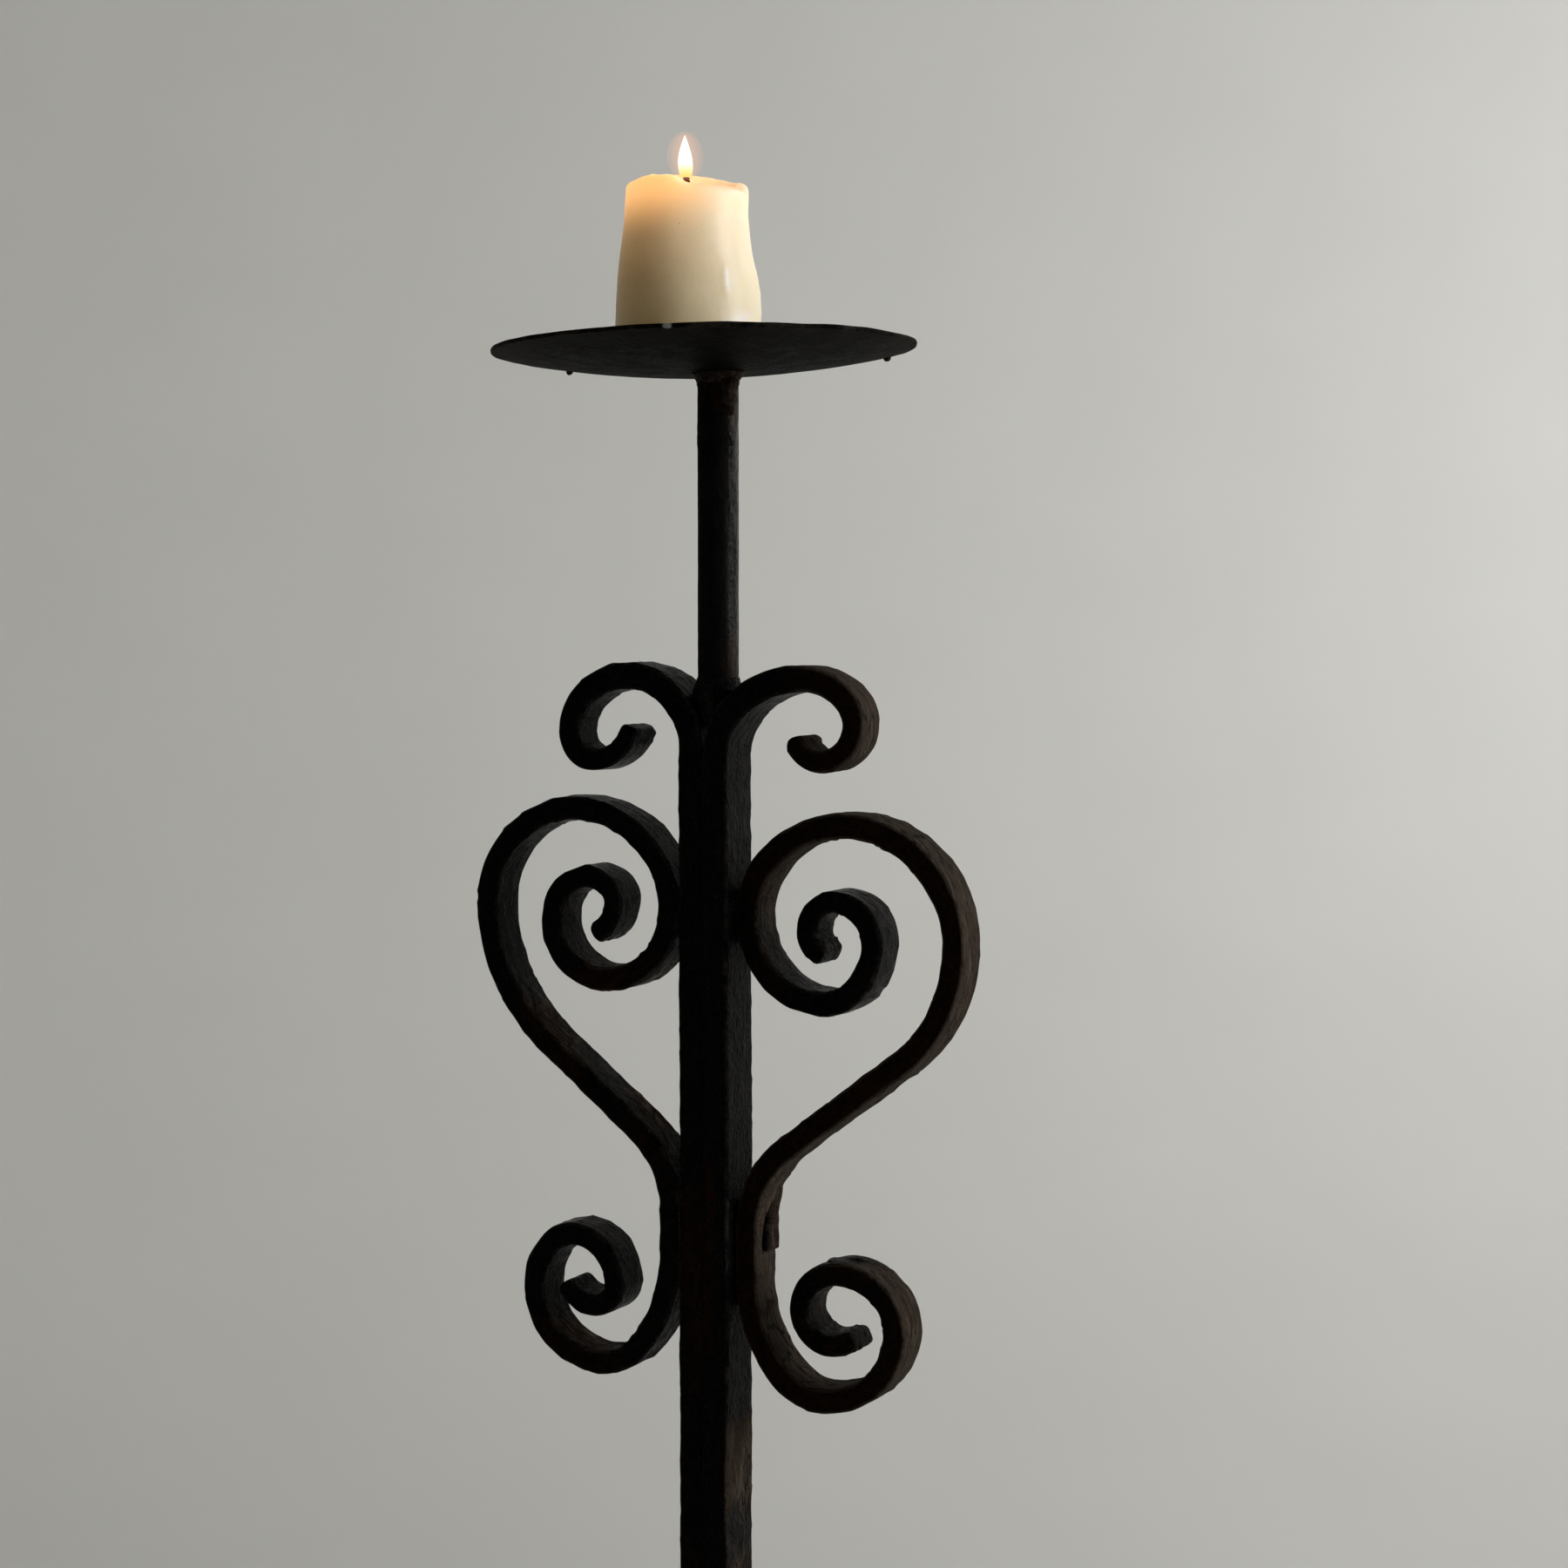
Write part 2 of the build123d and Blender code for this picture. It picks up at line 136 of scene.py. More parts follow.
def facets(along, seed, shortest, longest, depth):
    """Flats left by the hammer: runs of uneven length, each a little hollow in its middle."""
    edges, k = [float(along[0]) - 5.0], 0
    while edges[-1] < along[-1]:
        k += 1
        share = noise.cell(Vector((k * 3.7, seed * 5.3, 1.5)))
        edges.append(edges[-1] + shortest + (longest - shortest) * share)
    edges = np.array(edges)
    spot = np.clip(np.searchsorted(edges, along) - 1, 0, len(edges) - 2)
    t = (along - edges[spot]) / (edges[spot + 1] - edges[spot])
    strength = np.array([0.5 + noise.cell(Vector((j * 1.9, seed * 2.3, 8.5)))
                         for j in range(len(edges))])[spot]
    return depth * strength * (0.6 - 4 * t * (1 - t))


def new_mesh(name, verts, faces, marks=None):
    """A smooth-shaded object from millimetres, with float marks per vertex."""
    mesh = bpy.data.meshes.new(name)
    mesh.from_pydata((np.asarray(verts) * MM).tolist(), [], faces)
    mesh.validate()
    mesh.polygons.foreach_set("use_smooth", [True] * len(mesh.polygons))
    for key, values in (marks or {}).items():
        layer = mesh.attributes.new(key, "FLOAT", "POINT")
        layer.data.foreach_set("value", np.asarray(values, np.float32))
    mesh.update()
    piece = bpy.data.objects.new(name, mesh)
    scene.collection.objects.link(piece)
    return piece


def grid_faces(rings, around):
    """Faces between closed rings that follow one another."""
    faces = []
    for i in range(rings - 1):
        for j in range(around):
            a, b = i * around + j, i * around + (j + 1) % around
            faces.append((a, b, b + around, a + around))
    return faces


def closed_faces(rings, around):
    """The same, closed at both ends on two more vertices that come last."""
    faces = grid_faces(rings, around)
    last, end = (rings - 1) * around, rings * around
    for k in range(around):
        faces.append(((k + 1) % around, k, end))
        faces.append((last + k, last + (k + 1) % around, end + 1))
    return faces


def ring_pattern(across_width, across_thick):
    """The bar's section once round, as shares of its half sizes and corner radius."""
    points = []
    for quarter, (sn, sy) in enumerate([(1, 1), (-1, 1), (-1, -1), (1, -1)]):
        angles = np.linspace(0, math.pi / 2, 5)
        if quarter % 2:
            angles = angles[::-1]
        for a in angles:
            points.append((sn, sy, sn * math.cos(a), sy * math.sin(a), math.sin(2 * a) ** 0.5))
        if quarter % 2 == 0:
            for t in np.linspace(sn, -sn, across_thick + 2)[1:-1]:
                points.append((t, sy, 0, sy, 0))
        else:
            for t in np.linspace(sy, -sy, across_width + 2)[1:-1]:
                points.append((sn, t, sn, 0, 0))
    return np.array(points)


CORNER = 1.9
CAP_ANGLES = [math.radians(v) for v in (18, 36, 52, 66, 78)]


def forged_bar(stations, half_thick, half_width, y_middle, seed, across=(15, 7), dent=0.34, flat=0.62,
               tip=(0.62, 0.62), square_start=False, seam=None, seam_sign=1):
    """Sweeps the bar's section along its stations and hammers the surface.

    across is the number of points along each face, dent and flat are the depths of the hammer's marks,
    tip says how far each end bulges, square_start leaves the first end plain, and seam says, from x and z,
    where the side towards seam_sign lies flat against the other bar.
    """
    x, z, heading, along = (np.array(v) for v in zip(*stations))
    n = len(x)
    a = np.radians(heading)
    half_thick = half_thick * (1 + 0.045 * wave(along, 34, seed) + 0.03 * wave(along, 13, seed + 1))
    half_width = half_width * (1 + 0.028 * wave(along, 47, seed + 2) + 0.015 * wave(along, 17, seed + 3))
    drift = 0.35 * wave(along, 40, seed + 4)
    y_off = y_middle + 0.35 * wave(along, 60, seed + 5)
    corner = CORNER * (1 + 0.35 * wave(along, 22, seed + 6))
    path = list(zip(x, z, a, half_thick, half_width, corner, drift, y_off))
    ends = []
    for sign, i in ((-1, 0), (1, n - 1)):
        caps = []
        for r in [] if sign < 0 and square_start else CAP_ANGLES:
            reach = half_thick[i] * math.sin(r) * tip[0 if sign < 0 else 1]
            slim = math.cos(r) ** 0.6
            caps.append((x[i] + sign * reach * math.cos(a[i]), z[i] + sign * reach * math.sin(a[i]), a[i],
                         half_thick[i] * slim, half_width[i] - 0.35 * half_thick[i] * (1 - slim),
                         min(corner[i] * 1.3, half_thick[i] * slim * 0.9), drift[i], y_off[i]))
        ends.append(caps)
    rows = np.array(ends[0][::-1] + path + ends[1])
    pattern = ring_pattern(*across)
    px, pz, pa, pt, pw, pr, pd, py = rows.T
    sn, sy, cn, cy, edge = pattern.T
    seam_side = np.zeros((len(rows), len(pattern)))
    if seam is not None:
        seam_side = np.outer(seam(px, pz), sn * seam_sign > 0.5)
    r = pr[:, None] * (1 - 0.62 * seam_side)
    off_n = sn * (pt[:, None] - r) + cn * r
    off_y = sy * (pw[:, None] - r) + cy * r
    lead, trail = len(ends[0]), len(ends[1])  # rows of the two caps
    blows = ((7, 11, 27, flat), (8, 12, 25, flat), (9, 20, 44, flat / 2), (10, 18, 40, flat / 2))
    over, under, left_flat, right_flat = (
        np.pad(facets(along, seed + k, shortest, longest, depth), (lead, trail), mode="edge")[:, None]
        for k, shortest, longest, depth in blows)
    off_n = off_n + (np.maximum(sn, 0) * over + np.minimum(sn, 0) * under) * (1 - seam_side)
    off_y = off_y + np.maximum(sy, 0) * left_flat + np.minimum(sy, 0) * right_flat
    nx, nz = -np.sin(pa), np.cos(pa)
    vx = px[:, None] + nx[:, None] * (off_n + pd[:, None] * (1 - seam_side))
    vz = pz[:, None] + nz[:, None] * (off_n + pd[:, None] * (1 - seam_side))
    vy = py[:, None] + off_y
    length = np.hypot(cn, cy)
    out_n, out_y = cn / length, cy / length
    verts = np.stack([vx, vy, vz], -1)
    outward = np.stack([nx[:, None] * out_n, np.broadcast_to(out_y, vx.shape), nz[:, None] * out_n], -1)
    flat_v = verts.reshape(-1, 3)
    shift = np.zeros(len(flat_v))
    for k, p in enumerate(flat_v):
        v = Vector(p)
        spot = v / 13.0 + Vector((seed, seed * 2.7, 0))
        cell = noise.voronoi(spot)[0][0]
        shift[k] = dent * (min(cell, 1.0) ** 2 * 1.7 - 0.75)
        shift[k] += 0.42 * dent * noise.noise(v / 5.0 + Vector((0, seed, 0)))
    burr = np.zeros(len(rows))
    if not square_start:
        burr[:lead + 3] = 1.0
    burr[len(rows) - trail - 3:] = 1.0
    for i in np.nonzero(burr)[0]:
        for k in range(i * len(pattern), (i + 1) * len(pattern)):
            shift[k] += 0.75 * noise.noise(Vector(flat_v[k]) / 3.4 + Vector((seed, seed, 0)))
    shift = (shift - shift.mean()).reshape(vx.shape) * (1 - 0.8 * seam_side)
    verts = verts + outward * shift[..., None]
    around = len(pattern)
    verts = verts.reshape(-1, 3)
    verts = np.vstack([verts, verts[:around].mean(0), verts[-around:].mean(0)])
    from_end = along[-1] - along if square_start else np.minimum(along, along[-1] - along)
    from_end = np.pad(from_end, (lead, trail))
    run = np.pad(along, (lead, trail), mode="edge") * MM
    tip_run = (run[0], run[-1])
    marks = {"arris": np.append((edge * (1 - seam_side)).ravel(), [0, 0]),
             "side": np.append((np.abs(out_n) * (1 - seam_side)).ravel(), [0, 0]),
             "from_end": np.append(np.repeat(from_end, around), [0, 0]),
             "bar_u": np.append(np.repeat(run, around), tip_run),
             "bar_v": np.append((off_y * MM).ravel(), [0, 0]),
             "bar_w": np.append((off_n * MM).ravel(), [0, 0])}
    return verts, closed_faces(len(rows), around), marks


def patch(values, middle, half, soft):
    """1 within half of the middle, fading to 0 over soft."""
    rise = ramp(values, middle - half - soft, middle - half)
    return rise * (1 - ramp(values, middle + half, middle + half + soft))


def aged(marks, verts, patina, shine=(30.0, 120.0)):
    """Adds the patina (0 black, 1 brown) and the shine of the rubbed curls, and dulls the tips."""
    marks["patina"] = patina(verts[:, 0], verts[:, 1], verts[:, 2], marks["from_end"])
    marks["shine"] = 1 - ramp(marks["from_end"], *shine)
    marks["side"] = marks["side"] * (0.35 + 0.65 * ramp(marks["from_end"], 0, 70))
    del marks["from_end"]
    return marks


TAPER_LENGTH = 110.0


def taper(along, full, end, both=True):
    """The bar's thickness, drawn thinner towards its last end or towards both."""
    total = along[-1]
    to_end = total - along
    if both:
        to_end = np.minimum(along, total - along)
    return full + (end - full) * np.clip(1 - to_end / min(TAPER_LENGTH, total), 0, 1)


BAR = 15.0
POST_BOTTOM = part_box("left_upright")[0].z / MM
# Where each upright leaves the post, then its bends: radius (or length) and turn in degrees.
UPRIGHTS = {
    "left": (834, [(35, -45), (44, -45), (41, -45), (27, -45), (15, -90), (25, -68)]),
    "right": (828, [(39, -45), (52, -45), (37, -45), (18, -45), (20, -90), (14, -72)]),
}
SIDE_X = 21.6
# Height of the weld to the post, front and back faces, then the bends up and down from there.
SIDE_SCROLLS = {
    "left": (581.3, -13.5, 10.5,
             [(53, -52), (74.5, 0), (101, 32), (81, 20), (56, 45), (59, 45), (61, 45), (52, 45), (36, 45),
              (45, 45), (33, 45), (30, 45), (26, 45), (23, 45), (16, 45), (13, 45), (18, 62)],
             [(24, 0), (79, 45), (32, 45), (44, 45), (35, 45), (37, 45), (21, 45), (26, 45), (27, 45),
              (10, 45), (16, 45), (22, 50)]),
    "right": (573, -6.0, 18.0,
              [(58, -53), (82.5, 0), (79, 37), (82, 16), (59, 45), (64, 45), (63, 45), (45, 45), (45, 45),
               (43, 45), (28, 45), (35, 45), (22, 45), (21, 45), (17, 45), (17, 45), (12, 65)],
              [(28, 0), (71, 45), (32, 45), (46, 45), (39, 45), (26, 45), (34, 45), (26, 45), (19.5, 45),
               (17.5, 45), (17, 45), (26, 27)]),
}


def keep(name, verts, faces, marks, material, node, body="stand"):
    """Makes a piece that stands in for one CAD node."""
    piece = new_mesh(name, verts, faces, marks)
    piece.data.materials.append(material)
    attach(piece, body)
    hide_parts(node)


# ---- materials ----

def shader(name):
    """A new material, its node helper and its surface shader."""
    material = bpy.data.materials.new(name)
    material.use_nodes = True
    tree = material.node_tree
    return material, Nodes(tree), tree.nodes["Principled BSDF"]


class Nodes:
    """Short ways to add and join the nodes of one material."""

    def __init__(self, tree):
        self.tree = tree
        coordinates = tree.nodes.new("ShaderNodeTexCoord")
        self.place = coordinates.outputs["Object"]

    def link(self, a, b):
        self.tree.links.new(a, b)

    def noise(self, scale, detail=4.0, rough=0.55, at=None, distortion=0.0):
        node = self.tree.nodes.new("ShaderNodeTexNoise")
        node.inputs["Scale"].default_value = scale
        node.inputs["Detail"].default_value = detail
        node.inputs["Roughness"].default_value = rough
        node.inputs["Distortion"].default_value = distortion
        self.link(at or self.place, node.inputs["Vector"])
        return node.outputs["Fac"]

    def cells(self, scale, feature="F1", at=None):
        node = self.tree.nodes.new("ShaderNodeTexVoronoi")
        node.feature = feature
        node.inputs["Scale"].default_value = scale
        self.link(at or self.place, node.inputs["Vector"])
        return node.outputs["Distance"]

    def stretched(self, scale, shift=(0, 0, 0)):
        node = self.tree.nodes.new("ShaderNodeMapping")
        node.inputs["Scale"].default_value = scale
        node.inputs["Location"].default_value = shift
        self.link(self.place, node.inputs["Vector"])
        return node.outputs["Vector"]

    def mapped(self, value, low, high, to_low=0.0, to_high=1.0):
        node = self.tree.nodes.new("ShaderNodeMapRange")
        node.interpolation_type = "SMOOTHSTEP"
        limits = {"From Min": low, "From Max": high, "To Min": to_low, "To Max": to_high}
        for key, number in limits.items():
            node.inputs[key].default_value = number
        self.link(value, node.inputs["Value"])
        return node.outputs["Result"]

    def put(self, value, socket):
        """A number or a colour is set on the socket, anything else is linked to it."""
        if isinstance(value, tuple):
            socket.default_value = (*value, 1.0)
        elif isinstance(value, (int, float)):
            socket.default_value = value
        else:
            self.link(value, socket)

    def math(self, operation, a, b):
        node = self.tree.nodes.new("ShaderNodeMath")
        node.operation = operation
        self.put(a, node.inputs[0])
        self.put(b, node.inputs[1])
        return node.outputs["Value"]

    def add(self, a, b):
        return self.math("ADD", a, b)

    def times(self, a, b):
        return self.math("MULTIPLY", a, b)

    def mix(self, share, a, b):
        node = self.tree.nodes.new("ShaderNodeMix")
        node.data_type = "RGBA"
        for socket, value in ((node.inputs[0], share), (node.inputs[6], a), (node.inputs[7], b)):
            self.put(value, socket)
        return node.outputs[2]

    def mark(self, name):
        node = self.tree.nodes.new("ShaderNodeAttribute")
        node.attribute_name = name
        return node.outputs["Fac"]

    def along_bar(self, along, across, shift):
        """Texture place that follows the bar round its curls."""
        node = self.tree.nodes.new("ShaderNodeCombineXYZ")
        for socket, mark, scale in zip(node.inputs, ("bar_u", "bar_v", "bar_w"), (along, across, across)):
            self.link(self.add(self.times(self.mark(mark), scale), shift), socket)
        return node.outputs["Vector"]

    def axis(self, index):
        node = self.tree.nodes.new("ShaderNodeSeparateXYZ")
        self.link(self.place, node.inputs[0])
        return node.outputs[index]

    def bump(self, height, distance, strength=1.0, normal=None):
        node = self.tree.nodes.new("ShaderNodeBump")
        node.inputs["Strength"].default_value = strength
        node.inputs["Distance"].default_value = distance
        self.link(height, node.inputs["Height"])
        if normal is not None:
            self.link(normal, node.inputs["Normal"])
        return node.outputs["Normal"]

    def against(self, operation, vector):
        """The place's distance from a point, or its dot product with a direction."""
        node = self.tree.nodes.new("ShaderNodeVectorMath")
        node.operation = operation
        node.inputs[1].default_value = vector
        self.link(self.place, node.inputs[0])
        return node.outputs["Value"]


BLACK = (0.0012, 0.0011, 0.0011)
GREY = (0.0042, 0.0041, 0.0040)
SCALE = (0.0125, 0.0123, 0.0118)
BROWN = (0.0200, 0.0112, 0.0062)
# Painted shade: the deeper brown of the bars' broad faces.
SHADED_FACE_BROWN = (0.0088, 0.0037, 0.0013)
RUST = (0.0440, 0.0165, 0.0060)
# Pale dust and wear, also the painted highlight on worn edges and rubbed curls.
DUST_AND_HIGHLIGHT = (0.0640, 0.0500, 0.0390)


def forged_iron(name, patina, dust, seed, sheen=0.30, gloss=0.022, follows=True, relief=1.0, dull=0.0):
    """Blackened iron: brown patina in soft patches, forge scale drawn out along the bar, worn edges, and
    painted light: a deeper brown shade on the broad faces, paler sides, and pale highlights on edges and
    curls.

    patina and dust add to the brown and to the pale film, sheen is the roughness of the smoothest spots,
    follows lets the texture run along a forged bar, relief scales the bumps, and dull roughens the faces
    that the side mark leaves out.
    """
    material, n, surface = shader(name)
    at = n.stretched((1, 1, 1), (seed, seed * 0.7, seed * 0.3))
    bar = n.along_bar(1.0, 1.0, seed) if follows else at
    drawn = n.along_bar(0.22, 1.0, seed) if follows else n.stretched((1, 1, 0.22), (seed, 0, seed))
    broad = n.noise(18, 3, 0.6, at)
    blotch = n.noise(70, 6, 0.68, bar, 0.5)
    streak = n.noise(210, 5, 0.66, drawn, 0.8)
    grain = n.noise(380, 5, 0.75, at)
    speck = n.noise(1000, 3, 0.6, at)
    pits = n.cells(330, at=bar)
    crackle = n.cells(250, "DISTANCE_TO_EDGE", drawn)
    scratches = n.noise(520, 2, 0.5, n.along_bar(0.10, 1.0, seed * 1.7) if follows else drawn, 1.2)
    long_streak = n.noise(75, 3, 0.6, n.along_bar(0.16, 1.0, seed * 2.3) if follows else drawn, 0.6)
    arris, side, shine = n.mark("arris"), n.mark("side"), n.mark("shine")

    # Black to grey, brown where the patina lies, and bare and rusty spots in the brown; the broad faces,
    # which the side mark leaves out, get a painted shade of deeper brown and more black.
    shade = n.mix(n.mapped(n.add(blotch, n.times(grain, 0.3)), 0.54, 0.80), BLACK, GREY)
    age = n.times(n.add(n.mark("patina"), patina), 0.56)
    field = n.add(n.add(broad, n.times(blotch, 0.6)), age)
    brown = n.mapped(n.add(field, n.times(grain, 0.50)), 1.24, 1.47)
    shade = n.mix(n.times(brown, 0.9), shade, n.mix(side, SHADED_FACE_BROWN, BROWN))
    bare = n.times(n.mapped(n.add(blotch, n.times(streak, 0.5)), 0.78, 0.90),
                   n.mapped(side, 0.0, 1.0, 0.75, 0.25))
    shade = n.mix(bare, shade, BLACK)
    rusty = n.times(brown, n.mapped(n.add(streak, n.times(grain, 0.8)), 0.88, 1.10))
    shade = n.mix(n.times(rusty, n.mapped(side, 0.0, 1.0, 0.30, 0.45)), shade, RUST)

    # On the sides of the bar: grey scale in streaks, a film of dust, and a web of dark cracks; the paler of
    # these go on the sides only, partly as painted light where the light falls.
    scaly = n.times(n.mapped(n.add(streak, n.times(blotch, 0.5)), 0.73, 0.87), side)
    covered = n.mapped(long_streak, 0.40, 0.60, 0.12, 1.0)
    shade = n.mix(n.times(n.times(scaly, 0.95), covered), shade, n.mix(brown, SCALE, DUST_AND_HIGHLIGHT))
    film = n.times(n.mapped(n.add(field, n.times(streak, 0.4)), 1.25 - dust, 1.75 - dust), side)
    shade = n.mix(n.times(film, 0.60), shade, DUST_AND_HIGHLIGHT)
    web = n.times(n.mapped(crackle, 0.02, 0.11, 1.0, 0.0), n.mapped(broad, 0.42, 0.58))
    shade = n.mix(n.times(n.times(web, side), 0.8), shade, BLACK)

    # Worn arrises with a painted highlight along them, and scratches on the rubbed curls that are partly
    # painted glints.
    highlit_wear = n.times(arris, n.mapped(n.add(blotch, n.times(grain, 0.6)), 0.62, 0.98))
    shade = n.mix(n.times(highlit_wear, n.mapped(brown, 0.0, 1.0, 0.32, 0.62)), shade, DUST_AND_HIGHLIGHT)
    rubbed_and_glinting = n.times(n.mapped(scratches, 0.60, 0.66), n.times(shine, side))
    shade = n.mix(n.times(rubbed_and_glinting, 0.45), shade, DUST_AND_HIGHLIGHT)
    n.link(shade, surface.inputs["Base Color"])

    rough = n.mapped(n.add(grain, n.times(brown, 0.7)), 0.3, 1.2, sheen - 0.05, sheen + 0.36)
    if dull:
        rough = n.add(rough, n.mapped(side, 0.0, 0.6, dull, 0.0))
    n.link(n.math("SUBTRACT", rough, n.times(shine, 0.05)), surface.inputs["Roughness"])
    surface.inputs["Metallic"].default_value = 0.0
    surface.inputs["Specular IOR Level"].default_value = gloss
    low = n.bump(n.mapped(pits, 0.0, 0.6), 0.00045 * relief, 0.8)
    seamed = n.bump(n.mapped(crackle, 0.0, 0.12), 0.00040 * relief, 0.7, low)
    fine = n.bump(streak, 0.0020 * relief, 0.9, n.bump(grain, 0.0010 * relief, 0.7, seamed))
    flow = n.bump(n.noise(120, 4, 0.62, bar, 1.2), 0.0030 * relief, 0.9, fine)
    n.link(n.bump(speck, 0.00022 * relief, 0.7, flow), surface.inputs["Normal"])
    return material


IRON_LEFT = forged_iron("iron_left_bars", patina=0.0, dust=-0.12, seed=4.1, sheen=0.27, gloss=0.015)
IRON_RIGHT = forged_iron("iron_right_bars", patina=0.0, dust=0.14, seed=7.7)
IRON_LEG = forged_iron("iron_legs", patina=0.3, dust=0.0, seed=9.2)
IRON_WELD = forged_iron("iron_welds", patina=0.75, dust=0.0, seed=12.4, sheen=0.34, gloss=0.06,
                        follows=False)


# ---- the two uprights ----

def left_post_patina(x, y, z, from_end):
    front = 1 - ramp(y, -13, -9)
    brown = 0.8 * front * patch(z, 540, 20, 80) * ramp(x, -15, -10) + 0.4 * patch(z, 320, 60, 120)
    return (0.05 + brown) * (1 - ramp(z, 780, 860))


def right_post_patina(x, y, z, from_end):
    front, outer = 1 - ramp(y, -13, -9), ramp(x, 10, 14)
    curl = 0.95 * ramp(x, 30, 66) * ramp(z, 790, 840)
    post = (0.05 + 0.9 * front * patch(z, 555, 36, 38) * (1 - ramp(x, 5, 10))
            + 0.75 * outer * patch(z, 447, 12, 26) + 0.5 * patch(z, 330, 40, 70)
            + 0.2 * front * patch(z, 690, 20, 70))
    return curl + post * (1 - ramp(z, 790, 830))


post_patina = {"left": left_post_patina, "right": right_post_patina}
for number, (side, (scroll_start, curl)) in enumerate(UPRIGHTS.items()):
    stations = bend(BAR / 2, POST_BOTTOM, 90, [(scroll_start - POST_BOTTOM, 0)] + curl)
    if side == "left":
        stations = mirrored(stations)
    along = np.array([s[3] for s in stations])
    out = np.abs(np.array([s[0] for s in stations]))
    half_thick = taper(along, BAR, 11.0, both=False) / 2
    half_width = np.interp(out, (15, 62), (15, 11))
    inner = 1 if side == "right" else -1
    verts, faces, marks = forged_bar(
        stations, half_thick, half_width, 0.0, 20 + 11 * number, across=(17, 9), dent=0.32, flat=0.42,
        square_start=True, seam_sign=inner,
        seam=(lambda px, pz, start=scroll_start: 1 - ramp(pz, start - 30, start + 6)))
    marks = aged(marks, verts, post_patina[side])
    if side == "right":
        # Painted shadow of the scroll on the post's side beside its weld, and a painted highlight along the
        # post's worn right-hand edges.
        painted_scroll_shadow = patch(verts[:, 2], 545, 75, 45) * ramp(verts[:, 0], 10, 14)
        marks["side"] = marks["side"] * (1 - 0.42 * painted_scroll_shadow)
        marks["arris"] = np.minimum(1, marks["arris"] * (1 + 0.9 * ramp(verts[:, 0], 9, 13)))
    keep(f"{side}_upright_forged", verts, faces, marks,
         IRON_RIGHT if side == "right" else IRON_LEFT, f"{side}_upright")


# ---- the two S-scrolls ----
# The right one has a fold that never closed: a tongue stands proud beside a blind slot.

FLAT_THICK = 13.2
OUTER_FACE, SLOT_DEPTH = 28.2, 5.5


def lapped(verts):
    """Raises the tongue and sinks the slot; also says how far each vertex lies in the slot."""
    x, y, z = verts.T
    outer = (x > OUTER_FACE - 3.5) & (z > 550) & (z < 604)
    ragged = np.array([noise.noise(Vector((v[1] / 3, v[2] / 4, 0.5))) if o else 0.0
                       for v, o in zip(verts, outer)])
    proud = OUTER_FACE + np.interp(z, (560, 580.4, 594), (2.6, 2.8, 5.6)) + 0.5 * ragged
    tongue = (np.clip((y - 9.4) / 5.2, 0, 1) * (1 - ramp(y, 15.4, 16.6))
              * ramp(z, 559.0 + ragged, 561.0 + ragged) * (1 - ramp(z, 591, 597)))
    side_of_slot = np.interp(z, (560, 567, 581, 588), (0.8, 0.8, 4.4, 9.8)) + 0.6 * ragged
    slot = (ramp(y, side_of_slot - 0.5, side_of_slot + 0.5) * (1 - ramp(y, 9.1, 9.9))
            * ramp(z, 559.4, 560.6) * (1 - ramp(z, 586.5, 588.5)))
    x = x + outer * tongue * np.maximum(proud - x, 0) - outer * slot * SLOT_DEPTH
    return np.stack([x, y, z], -1), outer * slot


def left_scroll_patina(x, y, z, from_end):
    return (0.06 + 0.52 * patch(z, 700, 6, 34) * ramp(x, -128, -96) + 0.62 * patch(z, 490, 8, 46)
            + 0.34 * patch(z, 625, 14, 70))


def right_scroll_patina(x, y, z, from_end):
    outward = np.where(z > 600, ramp(from_end, 100, 290), 0.4 + 0.6 * ramp(from_end, 40, 170))
    return 0.22 + 0.72 * outward


scroll_patina = {"left": left_scroll_patina, "right": right_scroll_patina}
for number, (side, (height, front, back, up, down)) in enumerate(SIDE_SCROLLS.items()):
    step_at_lap = 0.7 if side == "right" else STEP
    stations = through(bend(SIDE_X, height, -90, down, first_step=step_at_lap),
                       bend(SIDE_X, height, 90, up, first_step=step_at_lap))
    if side == "left":
        stations = mirrored(stations)
    along = np.array([s[3] for s in stations])
    half_thick = taper(along, FLAT_THICK, 11.4) / 2
    half_width = np.full(len(along), (back - front) / 2)
    verts, faces, marks = forged_bar(
        stations, half_thick, half_width, (front + back) / 2, 50 + 13 * number,
        across=(23, 7) if side == "right" else (15, 7), dent=0.46)
    marks = aged(marks, verts, scroll_patina[side], (70.0, 210.0))
    if side == "right":
        verts, hollow = lapped(verts)
        for mark in ("patina", "side", "arris"):
            marks[mark] = marks[mark] * (1 - hollow)
    keep(f"{side}_s_scroll_forged", verts, faces, marks,
         IRON_RIGHT if side == "right" else IRON_LEFT, f"{side}_s_scroll")


# ---- the four legs ----

LEG_REACH, LEG_WIDTH, FOOT_FLAT = 170.0, 24.0, 0.8
LEG_SLOPE, LEG_BEND, LEG_WELDED = 28.0, 70, 75.0
HEEL, INSTEP, TOE = (24, -78), (60, 50), [(24, 90), (17, 90), (11, 75)]
slope = math.radians(LEG_SLOPE)
foot_height = FLAT_THICK / 2 - FOOT_FLAT
heel_x = bend(LEG_REACH, foot_height, 180, [HEEL, INSTEP])[-1][0]
slope_length = (heel_x - LEG_BEND * (1 - math.sin(slope)) - SIDE_X) / math.cos(slope)
inward = bend(LEG_REACH, foot_height, 180,
              [HEEL, INSTEP, (slope_length, 0), (LEG_BEND, LEG_SLOPE - 90), (LEG_WELDED, 0)])
outward = bend(LEG_REACH, foot_height, 0, TOE)
toe_length = outward[-1][3]
